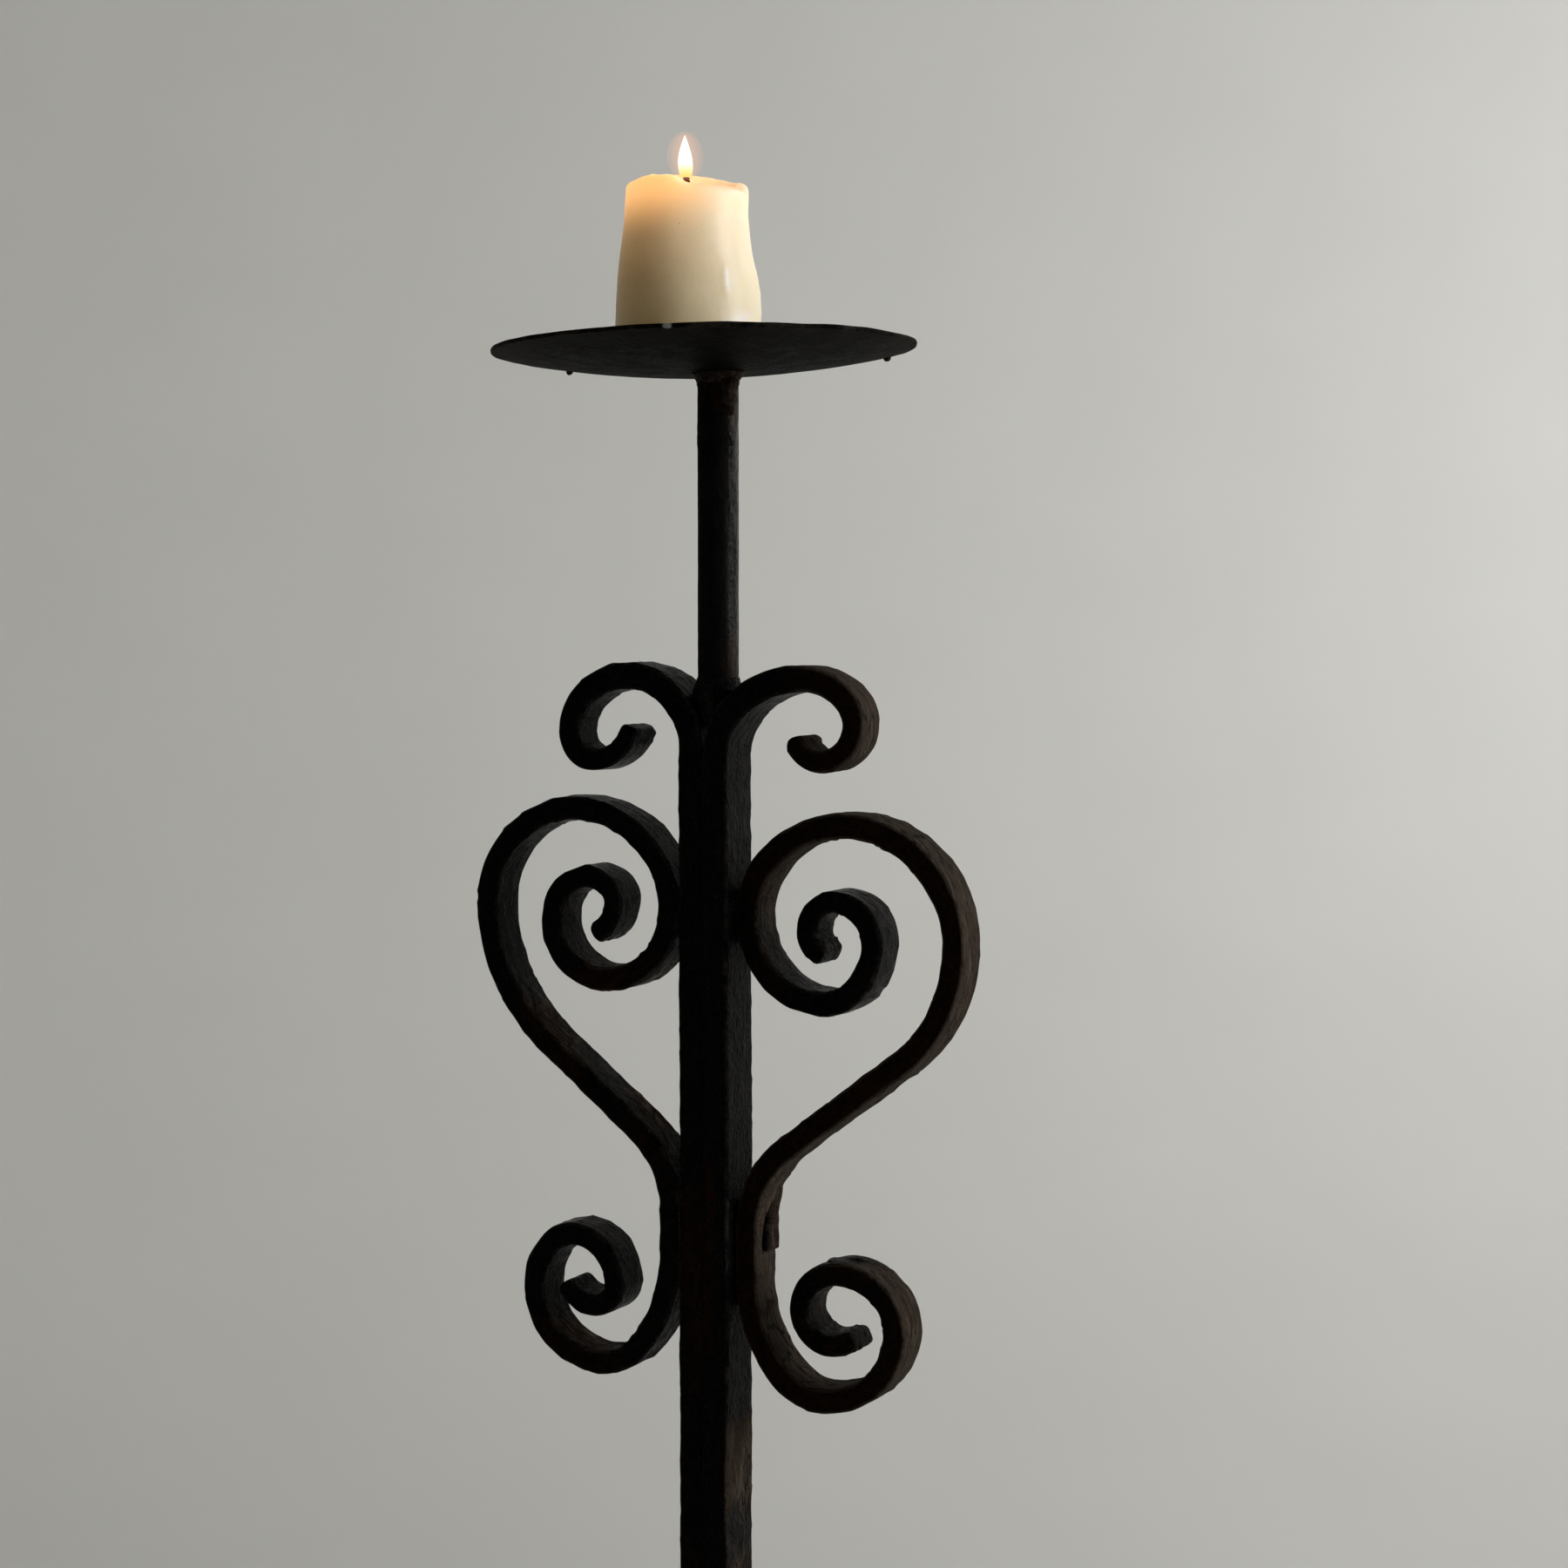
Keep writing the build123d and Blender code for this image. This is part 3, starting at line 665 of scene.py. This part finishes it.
for number, (name, bearing) in enumerate({"right": 0, "back": 90, "left": 180, "front": 270}.items()):
    stations = through(outward, inward)
    along = np.array([v[3] for v in stations])
    half_thick = (FLAT_THICK - 1.8 * np.clip(1 - along / toe_length, 0, 1)) / 2
    half_width = np.full(len(along), LEG_WIDTH / 2)
    verts, faces, marks = forged_bar(stations, half_thick, half_width, 0.0, 90 + 17 * number, tip=(1, 0.3))
    c, sn = math.cos(math.radians(bearing)), math.sin(math.radians(bearing))
    verts = np.stack([verts[:, 0] * c - verts[:, 1] * sn, verts[:, 0] * sn + verts[:, 1] * c,
                      np.maximum(verts[:, 2], 0)], -1)
    marks = aged(marks, verts, lambda x, y, z, from_end: 0.2 * ramp(z, 0, 60), (0.0, 30.0))
    keep(f"{name}_leg_forged", verts, faces, marks, IRON_LEG, f"{name}_leg")


# ---- welds: the CAD beads, melted rough ----

def rough_copy(name, node, voxel, lump, fine, seed, material, period=6.0):
    """The CAD node's mesh at an even size of face, with lumps of one period and finer ripples."""
    piece = bpy.data.objects.new(name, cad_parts[node].data.copy())
    scene.collection.objects.link(piece)
    remesh = piece.modifiers.new("remesh", "REMESH")
    remesh.mode = "VOXEL"
    remesh.voxel_size = voxel * MM
    smooth = piece.modifiers.new("smooth", "SMOOTH")
    smooth.factor, smooth.iterations = 0.5, 5
    graph = bpy.context.evaluated_depsgraph_get()
    made = bpy.data.meshes.new_from_object(piece.evaluated_get(graph))
    piece.modifiers.clear()
    piece.data = made
    made.materials.clear()
    made.materials.append(material)
    normals = [v.normal.copy() for v in made.vertices]
    marks = []
    for v, normal in zip(made.vertices, normals):
        at = v.co / MM
        big = noise.noise(at / period + Vector((seed, 0, 0)))
        ripple = noise.noise(at / (period * 0.3) + Vector((0, seed, 0)))
        v.co += normal * (lump * big + fine * ripple) * MM
        marks.append(max(0.0, ripple) * 0.8)
    for mark, values in (("arris", marks), ("side", [0.5] * len(marks))):
        layer = made.attributes.new(mark, "FLOAT", "POINT")
        layer.data.foreach_set("value", np.array(values, np.float32))
    made.polygons.foreach_set("use_smooth", [True] * len(made.polygons))
    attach(piece, "stand")
    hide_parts(node)


IRON_DARK_WELD = forged_iron("iron_dark_welds", patina=0.1, dust=-0.2, seed=13.9, sheen=0.34, gloss=0.03,
                             follows=False)
rough_copy("stem_foot_bead", "stem_foot_weld", 0.7, 0.55, 0.3, 3.1, IRON_DARK_WELD)
rough_copy("pan_bead", "pan_weld", 0.6, 0.5, 0.32, 5.7, IRON_WELD)
for side in ("left", "right"):
    rough_copy(f"{side}_scroll_beads", f"{side}_scroll_welds", 0.5, 0.45, 0.25, 8.3, IRON_DARK_WELD, 4.0)
rough_copy("seam_beads", "seam_welds", 0.5, 0.4, 0.3, 9.9, IRON_DARK_WELD, 4.0)
rough_copy("leg_beads", "leg_welds", 0.5, 0.45, 0.3, 11.2, IRON_WELD, 4.0)
rough_copy("pan_drip_beads", "pan_drips", 0.3, 0.3, 0.15, 14.5, IRON_WELD, 3.0)


# ---- the stem: smooth pipe with hardened runs of weld and wax down its right side ----

def bearing_xy(bearing, radius):
    """Bearings go from the front (-Y) towards the right (+X)."""
    return radius * math.sin(math.radians(bearing)), -radius * math.cos(math.radians(bearing))


def ridge(bearing, at, width):
    """1 at one bearing, fading to 0 on both sides of it."""
    off = (bearing - at + 180) % 360 - 180
    return math.exp(-(off / width) ** 2)


low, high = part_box("stem_tube")
STEM_X, STEM_RADIUS = round((low.x + high.x) / 2 / MM, 1), 11.0
# Each run: bearing, top, bottom, half width and how far it stands proud.
RUNS = [(66, 1018, 996, 2.9, 1.1), (73, 1012, 975, 1.8, 0.9), (60, 1004, 968, 1.5, 0.45),
        (81, 1000, 984, 2.0, 0.6), (70, 968, 958, 1.8, 0.5), (77, 960, 948, 1.4, 0.45),
        (240, 1010, 990, 2.2, 0.5), (310, 1006, 996, 2.0, 0.4), (160, 1014, 985, 2.4, 0.6),
        (68, 945, 938, 1.2, 0.3), (72, 930, 925, 1.2, 0.3)]
heights = np.arange(low.z / MM - 1.0, high.z / MM + 0.5, 1.3)
around = 88
verts, marks, rust, worn_and_lit_side = [], [], [], []
for z in heights:
    for k in range(around):
        bearing = 360.0 * k / around
        x, y = bearing_xy(bearing, 1.0)
        spot = Vector((x * STEM_RADIUS, y * STEM_RADIUS, z))
        r = STEM_RADIUS + 0.16 * noise.noise(spot / 16) + 0.07 * noise.noise(spot / 4.5)
        raised = 0.0
        for at, top, bottom, width, proud in RUNS:
            off = math.radians((bearing - at + 180) % 360 - 180) * STEM_RADIUS / width
            if abs(off) < 1 and bottom - 3 < z < top + 4:
                end = min(1.0, max(0.0, (z - bottom + 3) / 3)) * min(1.0, max(0.0, (top + 4 - z) / 6))
                bead = 1.35 if z < bottom + 3 else 1.0
                uneven = 0.8 + 0.4 * noise.noise(spot / 3)
                raised = max(raised, proud * bead * (1 - off * off) * end * uneven)
        verts.append((STEM_X + x * (r + raised), y * (r + raised), z))
        marks.append(min(1.0, raised * 1.3))
        # Painted light: the right side towards the light takes the side mark, so it is painted paler and
        # browner as a lit side, as well as smoother.
        worn_and_lit_side.append(0.03 + 0.95 * ridge(bearing, 82, 24))
        # Brown near the weld at the top, near the foot, and in a band down the right side.
        near_weld = ramp(z, 1003, 1017) * (0.35 + 0.65 * ridge(bearing, 55, 60))
        near_foot = 0.5 * (1 - ramp(z, 880, 925)) * ridge(bearing, 60, 40)
        rust.append(float(1.1 * near_weld + near_foot + 0.45 * ridge(bearing, 86, 24)))
IRON_STEM = forged_iron("iron_stem", patina=-0.1, dust=0.0, seed=15.8, sheen=0.13, gloss=0.070,
                        follows=False, relief=0.3, dull=0.75)
keep("stem_pipe", verts, grid_faces(len(heights), around),
     {"arris": marks, "patina": rust, "side": worn_and_lit_side}, IRON_STEM, "stem_tube")


# ---- the drip pan ----

PAN_X, PAN_LOW, PAN_TILT = -6.0, 1033.0, math.radians(1.3)
PAN_EDGE, PAN_DEPTH, PAN_SHEET = 113.7, 12.4, 2.2
PAN_SPHERE = (PAN_EDGE ** 2 + PAN_DEPTH ** 2) / (2 * PAN_DEPTH)
NICK_BEARING, NICK_WIDTH = 19.5, 2.6
RIM_START = PAN_EDGE - 0.7
# The rows of the section past this one are the top of the rim and the upper side.
UPPER_ROW = 60
pan_side = np.array([math.cos(PAN_TILT), 0, math.sin(PAN_TILT)])
pan_up = np.array([-math.sin(PAN_TILT), 0, math.cos(PAN_TILT)])
pan_middle = np.array([PAN_X, 0, PAN_LOW])


def pan_shape(radius, ball):
    """Height above the pan's lowest point, on a ball about the pan's own centre."""
    return PAN_SPHERE - math.sqrt(ball * ball - radius * radius)


PAN_UPPER = PAN_SPHERE - PAN_SHEET
section = [(r, pan_shape(r, PAN_SPHERE)) for r in np.linspace(0.5, RIM_START, 56)]
rim_low, rim_high = section[-1][1], pan_shape(RIM_START, PAN_UPPER)
section += [(RIM_START + 0.8 * math.sin(t), (rim_low + rim_high) / 2 - (rim_high - rim_low) / 2 * math.cos(t))
            for t in np.linspace(0, math.pi, 9)[1:-1]]
section += [(r, pan_shape(r, PAN_UPPER)) for r in np.linspace(RIM_START, 0.5, 44)]
around = 288
verts, marks, rims = [], [], []
for row, (r, h) in enumerate(section):
    for k in range(around):
        bearing = 360.0 * k / around
        x, y = bearing_xy(bearing, 1.0)
        edge = (r / PAN_EDGE) ** 8
        loop = Vector((x * 2.1, y * 2.1, 3.3))
        up = h + edge * (0.75 * noise.noise(loop) + 0.3 * noise.noise(loop * 3.1))
        out = r + edge * (0.5 * noise.noise(loop * 1.4 + Vector((5, 0, 0))) + 0.14 * noise.noise(loop * 9))
        spot = Vector((x * r, y * r, 0))
        up += 0.20 * noise.noise(spot / 26) + 0.07 * noise.noise(spot / 8)
        from_nick = (bearing - NICK_BEARING) * math.pi / 180 * PAN_EDGE / NICK_WIDTH
        nick = math.exp(-(from_nick ** 2)) * edge ** 4
        up -= 0.25 * nick if row > UPPER_ROW else 0.0
        verts.append(pan_middle + pan_side * x * out + np.array([0, 1, 0]) * y * out + pan_up * up)
        marks.append(nick)
        rims.append(edge)
verts += [pan_middle, pan_middle + pan_up * PAN_SHEET]

PAN_BLACK, PAN_GREY = (0.0014, 0.0014, 0.0012), (0.0036, 0.0035, 0.0029)
PAN_BROWN, PAN_SCRATCH = (0.0100, 0.0076, 0.0054), (0.020, 0.019, 0.017)
BARE_METAL = (0.30, 0.29, 0.28)
pan_iron, n, surface = shader("pan_iron_sheet")
broad = n.noise(16, 4, 0.6)
mottle = n.noise(75, 6, 0.65)
grain = n.noise(420, 4, 0.7)
scratch = n.noise(22, 3, 0.6, n.stretched((1, 14, 1), (0.3, 0, 0)))
shade = n.mix(n.mapped(mottle, 0.36, 0.68), PAN_BLACK, PAN_GREY)
shade = n.mix(n.mapped(n.add(broad, n.times(mottle, 0.4)), 0.72, 0.98, 0, 0.7), shade, PAN_BROWN)
shade = n.mix(n.mapped(scratch, 0.63, 0.72, 0, 0.35), shade, PAN_SCRATCH)
shade = n.mix(n.mapped(n.add(mottle, n.times(grain, 0.35)), 0.84, 0.95, 0, 0.6), shade, RUST)
rim_worn = n.times(n.mark("rim"), n.mapped(n.add(mottle, n.times(grain, 0.5)), 0.62, 0.95))
shade = n.mix(n.times(rim_worn, 0.35), shade, DUST_AND_HIGHLIGHT)
shade = n.mix(n.mapped(n.mark("nick"), 0.35, 0.8), shade, BARE_METAL)
n.link(shade, surface.inputs["Base Color"])
n.link(n.mapped(n.add(grain, mottle), 0.7, 1.4, 0.50, 0.75), surface.inputs["Roughness"])
surface.inputs["Specular IOR Level"].default_value = 0.012
n.link(n.bump(grain, 0.0004, 0.5, n.bump(mottle, 0.0016, 0.5)), surface.inputs["Normal"])
keep("drip_pan_sheet", verts, closed_faces(len(section), around),
     {"nick": marks + [0, 0], "rim": rims + [0, 0]}, pan_iron, "drip_pan")


# ---- the candle, burnt down on a slope ----

low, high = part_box("candle_wax")
CANDLE_X = round((low.x + high.x) / 2 / MM, 1)
# The slope of the burnt top, its height over the candle's middle, and the rounding of the rim.
CUT = (-0.159, 0.198)
CUT_HEIGHT = 1134.3
RIM = 4.0
# The radius from the foot up.
SIDE_Z, SIDE_R = np.array([(1030, 39.2), (1045, 39.2), (1060, 39.0), (1072, 38.6), (1084, 37.8),
                           (1096, 36.4), (1107, 34.9), (1118, 33.8), (1129, 33.1), (1146, 32.5)]).T
# Where the rim stands above its slope, by bearing.
LIP_AT, LIP = np.array([(-180, 0), (-75, 0), (-60, -0.4), (-39, 2.6), (-25, 5.2), (-13, 6.4), (10, 8.4),
                        (17, 7.4), (27, 3.4), (45, 3.8), (60, 2.9), (78, 2.2), (95, 0.9), (115, 0),
                        (180, 0)]).T
FOOT_RADIUS, FOOT_AIR, PAN_SLOPE = 39.0, 0.3, 0.0227
STREAK_BEARING = 60.5
WELL_DEPTH, WELL_RADIUS = 2.6, 25.0
around, rows = 200, 74


def top_height(x, y):
    """Height of the sloping cut."""
    return CUT_HEIGHT + CUT[0] * x + CUT[1] * y


def lip(bearing):
    """How far the rim stands above or below its slope."""
    x, y = bearing_xy(bearing, 1.9)
    turned = (bearing + 180) % 360 - 180
    near = sum(float(np.interp(turned + k, LIP_AT, LIP)) for k in (-6, -3, 0, 3, 6)) / 5
    return (near + 0.7 * noise.noise(Vector((x, y, 7.7))) + 0.35 * noise.noise(Vector((3 * x, 3 * y, 1.2)))
            + 1.8 * ridge(bearing, 124, 7) + 1.0 * ridge(bearing, 252, 9) - 0.7 * ridge(bearing, 100, 12)
            + 0.8 * ridge(bearing, 205, 45))


grid, marks_pale_and_highlit = [], []
for k in range(around):
    bearing = 360.0 * k / around
    x, y = bearing_xy(bearing, 1.0)
    column = []
    reach = float(np.interp(CUT_HEIGHT, SIDE_Z, SIDE_R))
    shoulder = top_height(x * reach, y * reach) + lip(bearing) - RIM
    foot = (PAN_LOW + pan_shape(FOOT_RADIUS, PAN_UPPER) + FOOT_AIR
            + PAN_SLOPE * (x * FOOT_RADIUS + CANDLE_X - PAN_X))
    for t in np.linspace(0, 1, rows):
        z = foot + (shoulder - foot) * t
        r = float(np.interp(z, SIDE_Z, SIDE_R))
        spot = Vector((x * r, y * r, z))
        r += 0.34 * noise.noise(spot / 24) + 0.10 * noise.noise(spot / 6)
        r += 0.6 * ridge(bearing, STREAK_BEARING, 3.0) * ramp(z, 1070, 1075) * (1 - ramp(z, 1083, 1090))
        r -= 1.7 * ridge(bearing, 118, 55) * ramp(z, 1082, 1098) * (1 - 0.6 * ramp(z, 1116, 1130))
        r += 0.8 * ridge(bearing, 118, 45) * patch(z, 1071, 4, 9)
        r += 0.25 * ridge(bearing, 12, 7) * ramp(z, 1092, 1099) * (1 - ramp(z, 1116, 1124))
        r += 1.3 * (1 - ramp(z, foot, foot + 5)) * (0.6 + 0.5 * noise.noise(Vector((x * 3, y * 3, 0))))
        column.append((r, z))
    edge_r = column[-1][0]
    rim = RIM + 2.5 * ridge(bearing, 300, 34) + 1.2 * ridge(bearing, 118, 22)
    for a in np.linspace(0, math.pi / 2, 9)[1:]:
        column.append((edge_r - rim * (1 - math.cos(a)), shoulder + RIM * math.sin(a)))
    rim_r = column[-1][0]
    for share in np.linspace(1, 0.02, 34)[1:]:
        r = rim_r * share
        hollow = WELL_DEPTH * max(0.0, 1 - (r / WELL_RADIUS) ** 2) ** 0.8
        spot = Vector((x * r, y * r, 0))
        z = top_height(x * r, y * r) + lip(bearing) * share ** 2.4 - hollow + 0.28 * noise.noise(spot / 9)
        column.append((r, z))
    grid.append([(CANDLE_X + x * r, y * r, z) for r, z in column])
    # The white mark: a painted highlight on the streak down the side, and a pale patch near the foot.
    foot_patch = ridge(bearing, 76, 14) * 0.8
    marks_pale_and_highlit.append([0.8 * ridge(bearing, STREAK_BEARING, 2.0) * float(patch(z, 1080, 4, 4))
                   + foot_patch * float(1 - ramp(z, 1059, 1067)) if i < rows else 0.0
                   for i, (r, z) in enumerate(column)])
rings = len(grid[0])
verts = [grid[k][i] for i in range(rings) for k in range(around)]
marks_pale_and_highlit = [marks_pale_and_highlit[k][i] for i in range(rings) for k in range(around)] + [0.0, 0.0]
well = CUT_HEIGHT - WELL_DEPTH
verts += [(CANDLE_X, 0, PAN_LOW + PAN_SHEET + 0.6), (CANDLE_X, 0, well)]

# Painted light on the wax: its emission is a painted glow from the flame downwards, stronger on the lit right
# side, and its base colour is a painted shade, amber on the left and cream on the right.
LIT_CREAM = (0.80, 0.72, 0.55), (0.87, 0.80, 0.64)
SHADED_AMBER = (0.66, 0.51, 0.29), (0.72, 0.58, 0.35)
SOOT, PALE_AND_HIGHLIGHT = (0.20, 0.12, 0.07), (0.93, 0.90, 0.88)
FLAME_AT = Vector((CANDLE_X - 1.4, -0.8, 1141)) * MM
lit_side = Vector((math.cos(VIEW_FROM), math.sin(VIEW_FROM), 0))
wax, n, surface = shader("candle_wax_cream")
away = n.against("DISTANCE", FLAME_AT)
cloud = n.noise(32, 4, 0.55)
fleck = n.noise(420, 3, 0.6)
soot = n.cells(70)
lateral = n.math("SUBTRACT", n.against("DOT_PRODUCT", lit_side), lit_side.x * CANDLE_X * MM)
cream = n.mix(n.mapped(cloud, 0.3, 0.75), *LIT_CREAM)
shaded_amber = n.mix(n.mapped(cloud, 0.3, 0.75), *SHADED_AMBER)
# Painted shade: amber away from the light, cream on the lit side.
shade = n.mix(n.mapped(lateral, -0.030, 0.022), shaded_amber, cream)
shade = n.mix(n.mapped(soot, 0.0, 0.045, 1.0, 0.0), shade, SOOT)
# White on the marked streak, a painted highlight, and on the patch near the foot.
shade = n.mix(n.times(n.mark("pale_and_highlight"), n.mapped(fleck, 0.3, 0.5)), shade, PALE_AND_HIGHLIGHT)
n.link(shade, surface.inputs["Base Color"])
surface.inputs["Subsurface Weight"].default_value = 0.85
surface.inputs["Subsurface Radius"].default_value = (1.0, 0.62, 0.30)
surface.inputs["Subsurface Scale"].default_value = 0.030
n.link(n.mapped(n.add(cloud, fleck), 0.7, 1.4, 0.34, 0.52), surface.inputs["Roughness"])
surface.inputs["Specular IOR Level"].default_value = 0.4
# Painted light given off by the wax: a glow near the flame and more on the lit side.
glow = n.math("POWER", n.mapped(away, 0.012, 0.080, 1.0, 0.0), 1.3)
glow = n.times(glow, n.mapped(n.axis(2), 1.100, 1.131, 0.22, 1.0))
lower = n.mix(n.mapped(lateral, -0.026, 0.004), (0.026, 0.016, 0.002), (0.100, 0.082, 0.040))
upper = n.mix(n.mapped(lateral, -0.026, -0.001), (0.066, 0.032, 0.005), (0.215, 0.165, 0.095))
painted_wax_glow = n.mix(n.mapped(n.axis(2), 1.045, 1.110), lower, upper)
painted_flare = n.mix(n.mapped(lateral, -0.012, 0.026), (1.42, 0.69, 0.230), (0.62, 0.33, 0.150))
painted_lit_wax = n.mix(glow, painted_wax_glow, painted_flare)
# The white mark also glows a little: painted highlight.
n.link(n.mix(n.times(n.mark("pale_and_highlight"), 0.5), painted_lit_wax, (0.30, 0.28, 0.27)), surface.inputs["Emission Color"])
surface.inputs["Emission Strength"].default_value = 1.0
n.link(n.bump(fleck, 0.00012, 0.5, n.bump(cloud, 0.003, 0.35)), surface.inputs["Normal"])
keep("candle_pillar", verts, closed_faces(rings, around), {"pale_and_highlight": marks_pale_and_highlit}, wax,
     "candle_wax", "candle")


# ---- wick and flame ----

def lathe(name, outline, line, turns, material):
    """A round form: (height, radius) rows about a line that may lean."""
    verts = []
    for z, r in outline:
        x0, y0 = line(z)
        for k in range(turns):
            angle = 2 * math.pi * k / turns
            verts.append((x0 + r * math.cos(angle), y0 + r * math.sin(angle), z))
    verts += [(*line(outline[0][0]), outline[0][0]), (*line(outline[-1][0]), outline[-1][0])]
    piece = new_mesh(name, verts, closed_faces(len(outline), turns))
    piece.data.materials.append(material)
    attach(piece, "candle")
    return piece


char, n, surface = shader("burnt_wick")
twist = n.noise(900, 4, 0.7, n.stretched((1, 1, 0.35)))
ember = n.mapped(n.axis(2), 1.1380, 1.1402)
shade = n.mix(n.mapped(twist, 0.35, 0.7), (0.020, 0.006, 0.003), (0.120, 0.028, 0.014))
n.link(shade, surface.inputs["Base Color"])
surface.inputs["Roughness"].default_value = 0.85
n.link(n.mix(ember, (0.045, 0.006, 0.002), (0.40, 0.05, 0.010)), surface.inputs["Emission Color"])
surface.inputs["Emission Strength"].default_value = 1.6
n.link(n.bump(twist, 0.0006, 0.9), surface.inputs["Normal"])
wick_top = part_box("wick")[1].z / MM - 0.2
wick_rows = [(z, 1.7 + 0.28 * noise.noise(Vector((0, 0, z * 1.3))) - 0.9 * float(ramp(z, 1139.5, 1141.0)))
             for z in np.arange(well - 6, wick_top, 0.35)]
wick = lathe("wick_burnt", wick_rows,
             lambda z: (CANDLE_X - 0.09 * max(0, z - well) ** 1.2, -0.05 * max(0, z - well)), 20, char)
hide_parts("wick")

fire, n, surface = shader("flame")
height = n.axis(2)
flicker = n.noise(120, 2, 0.5)
colour = n.mix(n.mapped(n.add(height, n.times(flicker, 0.002)), 1.1395, 1.1480),
               (0.98, 0.52, 0.12), (1.0, 0.97, 0.86))
n.link(colour, surface.inputs["Emission Color"])
surface.inputs["Base Color"].default_value = (0.0, 0.0, 0.0, 1)
surface.inputs["Specular IOR Level"].default_value = 0.0
surface.inputs["Emission Strength"].default_value = 1.7
FLAME = [(1137.8, 1.4), (1138.3, 2.5), (1139.4, 3.3), (1142.0, 3.8), (1145.5, 3.95), (1149.0, 3.6),
         (1152.0, 2.9), (1154.8, 2.05), (1157.0, 1.3), (1158.6, 0.75), (1159.6, 0.3), (1160.0, 0.05)]
flame_z, flame_r = np.array(FLAME).T


def flame_line(z):
    return (CANDLE_X - 0.6 - 0.9 * math.sin((z - 1135) / 24 * 1.6), -0.5)


def soft(values):
    """The outline's corners rounded off."""
    return np.convolve(np.pad(values, 3, mode="edge"), np.ones(7) / 7, mode="valid")


heights = np.linspace(flame_z[0], flame_z[-1], 70)
radii = soft(np.interp(heights, flame_z, flame_r))
lathe("flame", list(zip(heights.tolist(), radii.tolist())), flame_line, 40, fire)

# A painted halo: three faint glowing shells round the flame.
painted_halo, n, surface = shader("flame_painted_halo")
surface.inputs["Base Color"].default_value = (0.0, 0.0, 0.0, 1)
surface.inputs["Specular IOR Level"].default_value = 0.0
surface.inputs["Alpha"].default_value = 0.085
n.link(n.mix(n.noise(60, 2, 0.5), (1.0, 0.55, 0.36), (1.0, 0.64, 0.46)), surface.inputs["Emission Color"])
surface.inputs["Emission Strength"].default_value = 1.0
HALO_MIDDLE = 1149.0
for shell, wide in enumerate((5.2, 7.2, 9.6)):
    tall = 9.0 + 0.42 * wide
    outline = [(HALO_MIDDLE + tall * math.sin(t), wide * math.cos(t) + 0.02)
               for t in np.linspace(-math.pi / 2, math.pi / 2, 24)]
    lathe(f"flame_painted_halo_{shell}", outline, flame_line, 40, painted_halo)


# ---- a soft room: round floor curving up into a wall all round ----

room, n, surface = shader("pale_room")
n.link(n.mix(n.noise(3.0, 3, 0.5), (0.66, 0.66, 0.64), (0.70, 0.70, 0.68)), surface.inputs["Base Color"])
surface.inputs["Roughness"].default_value = 0.9
FLOOR_EDGE, SWEEP, WALL_TOP = 900.0, 3600.0, 6500.0
profile = [(FLOOR_EDGE / 2, 0.0), (FLOOR_EDGE, 0.0)]
profile += [(FLOOR_EDGE + SWEEP * math.sin(t), SWEEP * (1 - math.cos(t)))
            for t in np.linspace(0, math.pi / 2, 32)[1:]]
profile += [(FLOOR_EDGE + SWEEP, WALL_TOP)]
turns = 128
verts = [(r * math.cos(2 * math.pi * k / turns), r * math.sin(2 * math.pi * k / turns), h)
         for r, h in profile for k in range(turns)]
faces = grid_faces(len(profile), turns)
verts.append((0, 0, 0))
faces += [((k + 1) % turns, k, len(verts) - 1) for k in range(turns)]
floor = new_mesh("floor", verts, faces)
floor.data.materials.append(room)
floor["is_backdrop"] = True


# ---- light ----

def area(name, at, towards, size, energy, colour):
    data = bpy.data.lights.new(name, "AREA")
    data.shape = "RECTANGLE"
    data.size, data.size_y = size
    data.energy = energy
    data.color = colour
    lamp = bpy.data.objects.new(name, data)
    scene.collection.objects.link(lamp)
    lamp.location = at
    lamp.rotation_euler = (towards - at).to_track_quat("-Z", "Y").to_euler()
    lamp.visible_camera = False


# Directions as the camera sees them.
RIGHT, UP = lit_side, Vector((0, 0, 1))
BACK = Vector((-math.sin(VIEW_FROM), math.cos(VIEW_FROM), 0))
area("window", at=RIGHT * 2.25 - BACK * 0.52 + UP * 1.45, towards=UP * 0.9,
     size=(1.0, 1.7), energy=41, colour=(1.0, 0.985, 0.96))
area("wall_light", at=RIGHT * 2.4 + BACK * 1.3 + UP * 2.6, towards=BACK * 4.2 + RIGHT * 0.4 + UP * 1.9,
     size=(1.6, 1.6), energy=74, colour=(1.0, 0.99, 0.965))

glow_data = bpy.data.lights.new("candle_light", "POINT")
glow_data.energy = 0.22
glow_data.color = (1.0, 0.56, 0.22)
glow_data.shadow_soft_size = 0.003
glow_lamp = bpy.data.objects.new("candle_light", glow_data)
scene.collection.objects.link(glow_lamp)
glow_lamp.location = Vector((CANDLE_X - 1.5, -0.5, 1147)) * MM
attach(glow_lamp, "candle")

world = bpy.data.worlds.new("world")
scene.world = world
world.use_nodes = True
world.node_tree.nodes["Background"].inputs["Color"].default_value = (0.93, 0.97, 1.0, 1)
world.node_tree.nodes["Background"].inputs["Strength"].default_value = 0.035


# ---- sizes ----

low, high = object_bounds()
